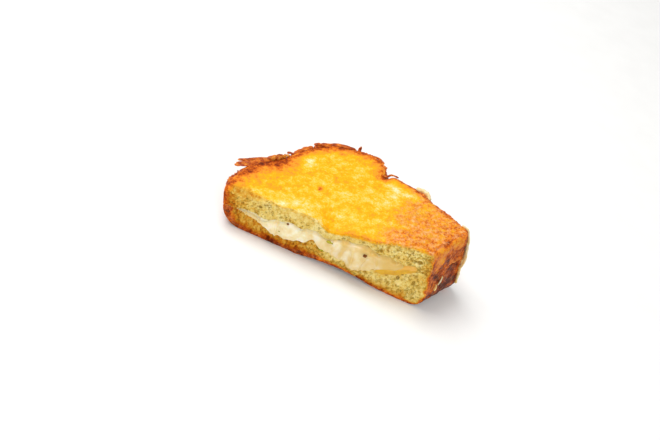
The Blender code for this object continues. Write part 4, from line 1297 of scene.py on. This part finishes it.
def crust_roll(start, end, seed, reach, height, least, stations=420, around=12):
    """A lumpy roll along the crust: a circle at a reach and height, whose radius wanders with noise."""
    share = np.linspace(start, end, stations)
    x, y = (np.interp(share, SHARE, OUTLINE[:, i] + reach * OUTWARD[:, i]) for i in (0, 1))
    out = np.column_stack([np.interp(share, SHARE, OUTWARD[:, i]) for i in (0, 1)] + [0.0 * share])
    path = place_points(np.column_stack([x, y]), height(x, y))
    turn = np.linspace(0.0, 2.0 * math.pi, around, endpoint=False)[:, None]
    size = 0.9 + 0.7 * cloud(path, 7.0, seed) + 0.4 * cloud(path, 2.2, seed + 1)
    size = np.clip(size, least, 2.0) * smooth(np.minimum(share - start, end - share) / 0.01)
    rings = path + (np.cos(turn) * size)[..., None] * out
    rings += (np.sin(turn) * size)[..., None] * (0.0, 0.0, ROLL_FLATNESS)
    rag = 0.35 * cloud(rings, 1.5, seed + 2) + 0.2 * cloud(rings, 0.8, seed + 3)
    return rings + (rag * np.clip(size, 0.0, 1.0))[..., None] * (rings - path)


def join_grids(parts):
    """One list of points and triangles from several closed ring grids."""
    points, triangles, start = [], [], 0
    for part in parts:
        points.append(part.reshape(-1, 3))
        triangles.append(grid_triangles(*part.shape[:2], start=start))
        start += len(points[-1])
    return np.concatenate(points), np.concatenate(triangles)


grids += [crust_roll(0.03, 0.97, 720, SEAM_REACH, lambda x, y: plain_seam(x), least=0.7, stations=560)]
grids += [crust_roll(*span, RIM_REACH, lambda x, y: top_height(x, y) - RIM_DROP, least=0.25)
          for span in RIM_SPANS]
print("shreds, crumbs and rolls:", len(grids))

# %% [markdown]
# ## Lace material
# Fried cheese is glassy and brown where it is thin and paler where it is thick. The tone drifts over a few
# millimetres from amber to dark red-brown, under an oily gloss.

# %% Lace material and piece
FRIED_DRIFT = 0.004           # m, between a pale and a dark place


def fried_cheese(name, tones):
    """Amber to red-brown by noise, with a fine blistered bump and an oily gloss."""
    material, tree, shader, place = new_material(name)
    drift = add_node(tree, "ShaderNodeTexNoise",
                     {"Vector": place, "Scale": 1.0 / FRIED_DRIFT, "Detail": 3.0, "Roughness": 0.65})
    colour = add_node(tree, "ShaderNodeValToRGB", {0: drift.outputs[0]},
                      stops=tuple(zip((0.28, 0.46, 0.60, 0.76), tones)))
    tree.links.new(colour.outputs[0], shader.inputs["Base Color"])
    blister = add_node(tree, "ShaderNodeTexNoise", {"Vector": place, "Scale": 1.0 / GRAIN, "Detail": 1.0})
    bump = add_node(tree, "ShaderNodeBump",
                    {"Height": blister.outputs[0], "Strength": 0.4, "Distance": 0.0004})
    tree.links.new(bump.outputs[0], shader.inputs["Normal"])
    shader.inputs["Roughness"].default_value = 0.38
    shader.inputs["IOR"].default_value = 1.46
    shader.inputs["Specular IOR Level"].default_value = 0.22
    shader.inputs["Subsurface Weight"].default_value = 0.15
    shader.inputs["Subsurface Radius"].default_value = (1.0, 0.4, 0.1)
    shader.inputs["Subsurface Scale"].default_value = 0.0015
    return material


fried = fried_cheese("fried_cheese_lace", ("#74260A", "#AC4A0C", "#D4721A", "#ECA44A"))
points, triangles = join_grids(grids)
add_piece("crisp_lace", mesh_from("crisp_lace", points, triangles, {}), fried, "toasted_bread")

# %% [markdown]
# ## Bubbles, blister and runs
# At the crown some cheese boiled up into small bubbles, and on the straight side a pale blister hangs out
# between the slices. At the base corner melted cheese ran down the crust in strands, with two wisps on the
# end face. The bubbles are balls with lumps of noise, set half into the crust, and the rest is ribbons.

# %% Bubbles, blister and runs
BUBBLES = ((0.192, 0.0, 1.5), (0.197, 0.8, 1.9), (0.203, 1.8, 1.3), (0.206, -0.4, 1.5), (0.209, 1.0, 2.2),
           (0.213, 2.2, 1.5), (0.216, 0.2, 1.4), (0.219, 1.4, 1.7), (0.225, 0.2, 1.6), (0.229, 1.2, 1.1),
           (0.235, 0.2, 1.2), (0.186, 0.6, 1.0))   # share, reach, radius
BUBBLE_SINK, BUBBLE_RISE, BUBBLE_FLATNESS = 1.1, 0.1, 0.9
RUN_FACE = (0.8, 0.5, 0.35)   # the runs lie flat on the crust, so this is the way that their faces look
RUNS = (                      # width, thickness, then (share, reach, rise) points
    (4.6, 3.4, (0.676, -0.4, -1.6), (0.692, 1.6, -1.0), (0.708, 2.0, -1.2), (0.722, 0.6, -2.6)),
    (4.0, 1.6, (0.838, -0.6, -1.2), (0.852, 0.9, -1.8), (0.864, 0.9, -6.0), (0.868, 1.1, -15.0)),
    (5.5, 1.8, (0.866, 0.2, -8.0), (0.870, 1.4, -16.0), (0.874, 1.2, -24.0), (0.884, 0.2, -29.0)),
    (2.6, 1.6, (0.874, 0.6, -22.0), (0.880, 0.9, -30.0), (0.880, 0.8, -38.0), (0.879, 0.3, -43.0)),
    (1.6, 1.0, (0.945, 0.0, -27.0), (0.953, 0.6, -30.0), (0.960, 0.5, -32.5)),
    (2.6, 1.4, (0.966, 0.1, -31.5), (0.970, 0.8, -33.5), (0.973, 0.4, -35.5)))


def ball(centre, radii, seed, rows, columns, rough):
    """A ball from two angles, stretched to its radii and pushed in and out by lumps of noise."""
    down, round_ = np.meshgrid(np.linspace(0.0, math.pi, columns),
                               np.linspace(0.0, 2.0 * math.pi, rows, endpoint=False))
    unit = np.stack([np.sin(down) * np.cos(round_), np.sin(down) * np.sin(round_), np.cos(down)], axis=-1)
    lumps = 1.0 + rough * cloud(unit * 3.0, 1.6, seed) + 0.5 * rough * cloud(unit * 3.0, 0.8, seed + 1)
    return np.array(centre) + unit * np.array(radii) * lumps[..., None]


points, triangles = join_grids([
    ball(edge_point(share, reach - BUBBLE_SINK, BUBBLE_RISE),
         (radius, BUBBLE_FLATNESS * radius, BUBBLE_FLATNESS * radius), 600 + i,
         rows=16, columns=12, rough=0.32)
    for i, (share, reach, radius) in enumerate(BUBBLES)])
boiled = fried_cheese("boiled_cheese", ("#7A2A0A", "#B85A14", "#DE9434", "#F8DC98"))
add_piece("bubbles", mesh_from("bubbles", points, triangles, {}), boiled, "toasted_bread")
points, triangles = join_grids([
    ribbon([edge_point(*spot) for spot in spots], width, 620 + 5 * i, thickness=thickness, face=RUN_FACE)
    for i, (width, thickness, *spots) in enumerate(RUNS)])
mesh = mesh_from("cheese_runs", points, triangles, {"butter_and_painted_light": 0.45 + 0.60 * cloud(points, 3.0, 99)})
add_piece("cheese_runs", mesh, white_cheese, "white_cheese")

# %% [markdown]
# ## Pepper bits
# The white cheese carries bits of dried red pepper and a few of green herb, set half into its front.
# They are small flat balls, and fat coats them, so the fried cheese's recipe serves with other tones.

# %% Pepper and herb bits
BITS = ((49.4, -0.10, 0.9), (94.7, 0.12, 0.7), (106.9, 0.18, 1.5))   # place, share of the way down, size
HERBS = ((45.8, 0.62, 0.7), (80.3, 0.05, 1.2), (82.5, 0.12, 0.6), (77.8, 0.84, 1.4))
HERB_STRETCH = 1.5            # a snipped leaf is longer than it is wide


def front_bit(rings, x, drop, radius, seed, stretch=1.0):
    """A small lump on the front of the cheese, a share of the way down it."""
    front = rings[np.argmin(rings[:, :, 1].mean(axis=1))]
    high, low = (np.interp(x, front[:, 0], pick(rings[:, :, 2], axis=0)) for pick in (np.max, np.min))
    y = np.interp(x, front[:, 0], front[:, 1])
    centre = (x, y + 0.5 * radius, high + drop * (low - high) - radius)
    return ball(centre, (stretch * radius, 0.7 * radius, 0.8 * radius), seed, rows=10, columns=8, rough=0.4)


points, triangles = join_grids([front_bit(white, *bit, 640 + i) for i, bit in enumerate(BITS)])
pepper = fried_cheese("dried_red_pepper", ("#4A2404", "#6A3608", "#8A5414", "#B8823A"))
add_piece("pepper_bits", mesh_from("pepper_bits", points, triangles, {}), pepper, "white_cheese")
points, triangles = join_grids([front_bit(white, *bit, 660 + i, HERB_STRETCH) for i, bit in enumerate(HERBS)])
herb = fried_cheese("green_herb_leaf", ("#7A7410", "#938A14", "#B0A424", "#C8BC50"))
add_piece("herb_bits", mesh_from("herb_bits", points, triangles, {}), herb, "white_cheese")
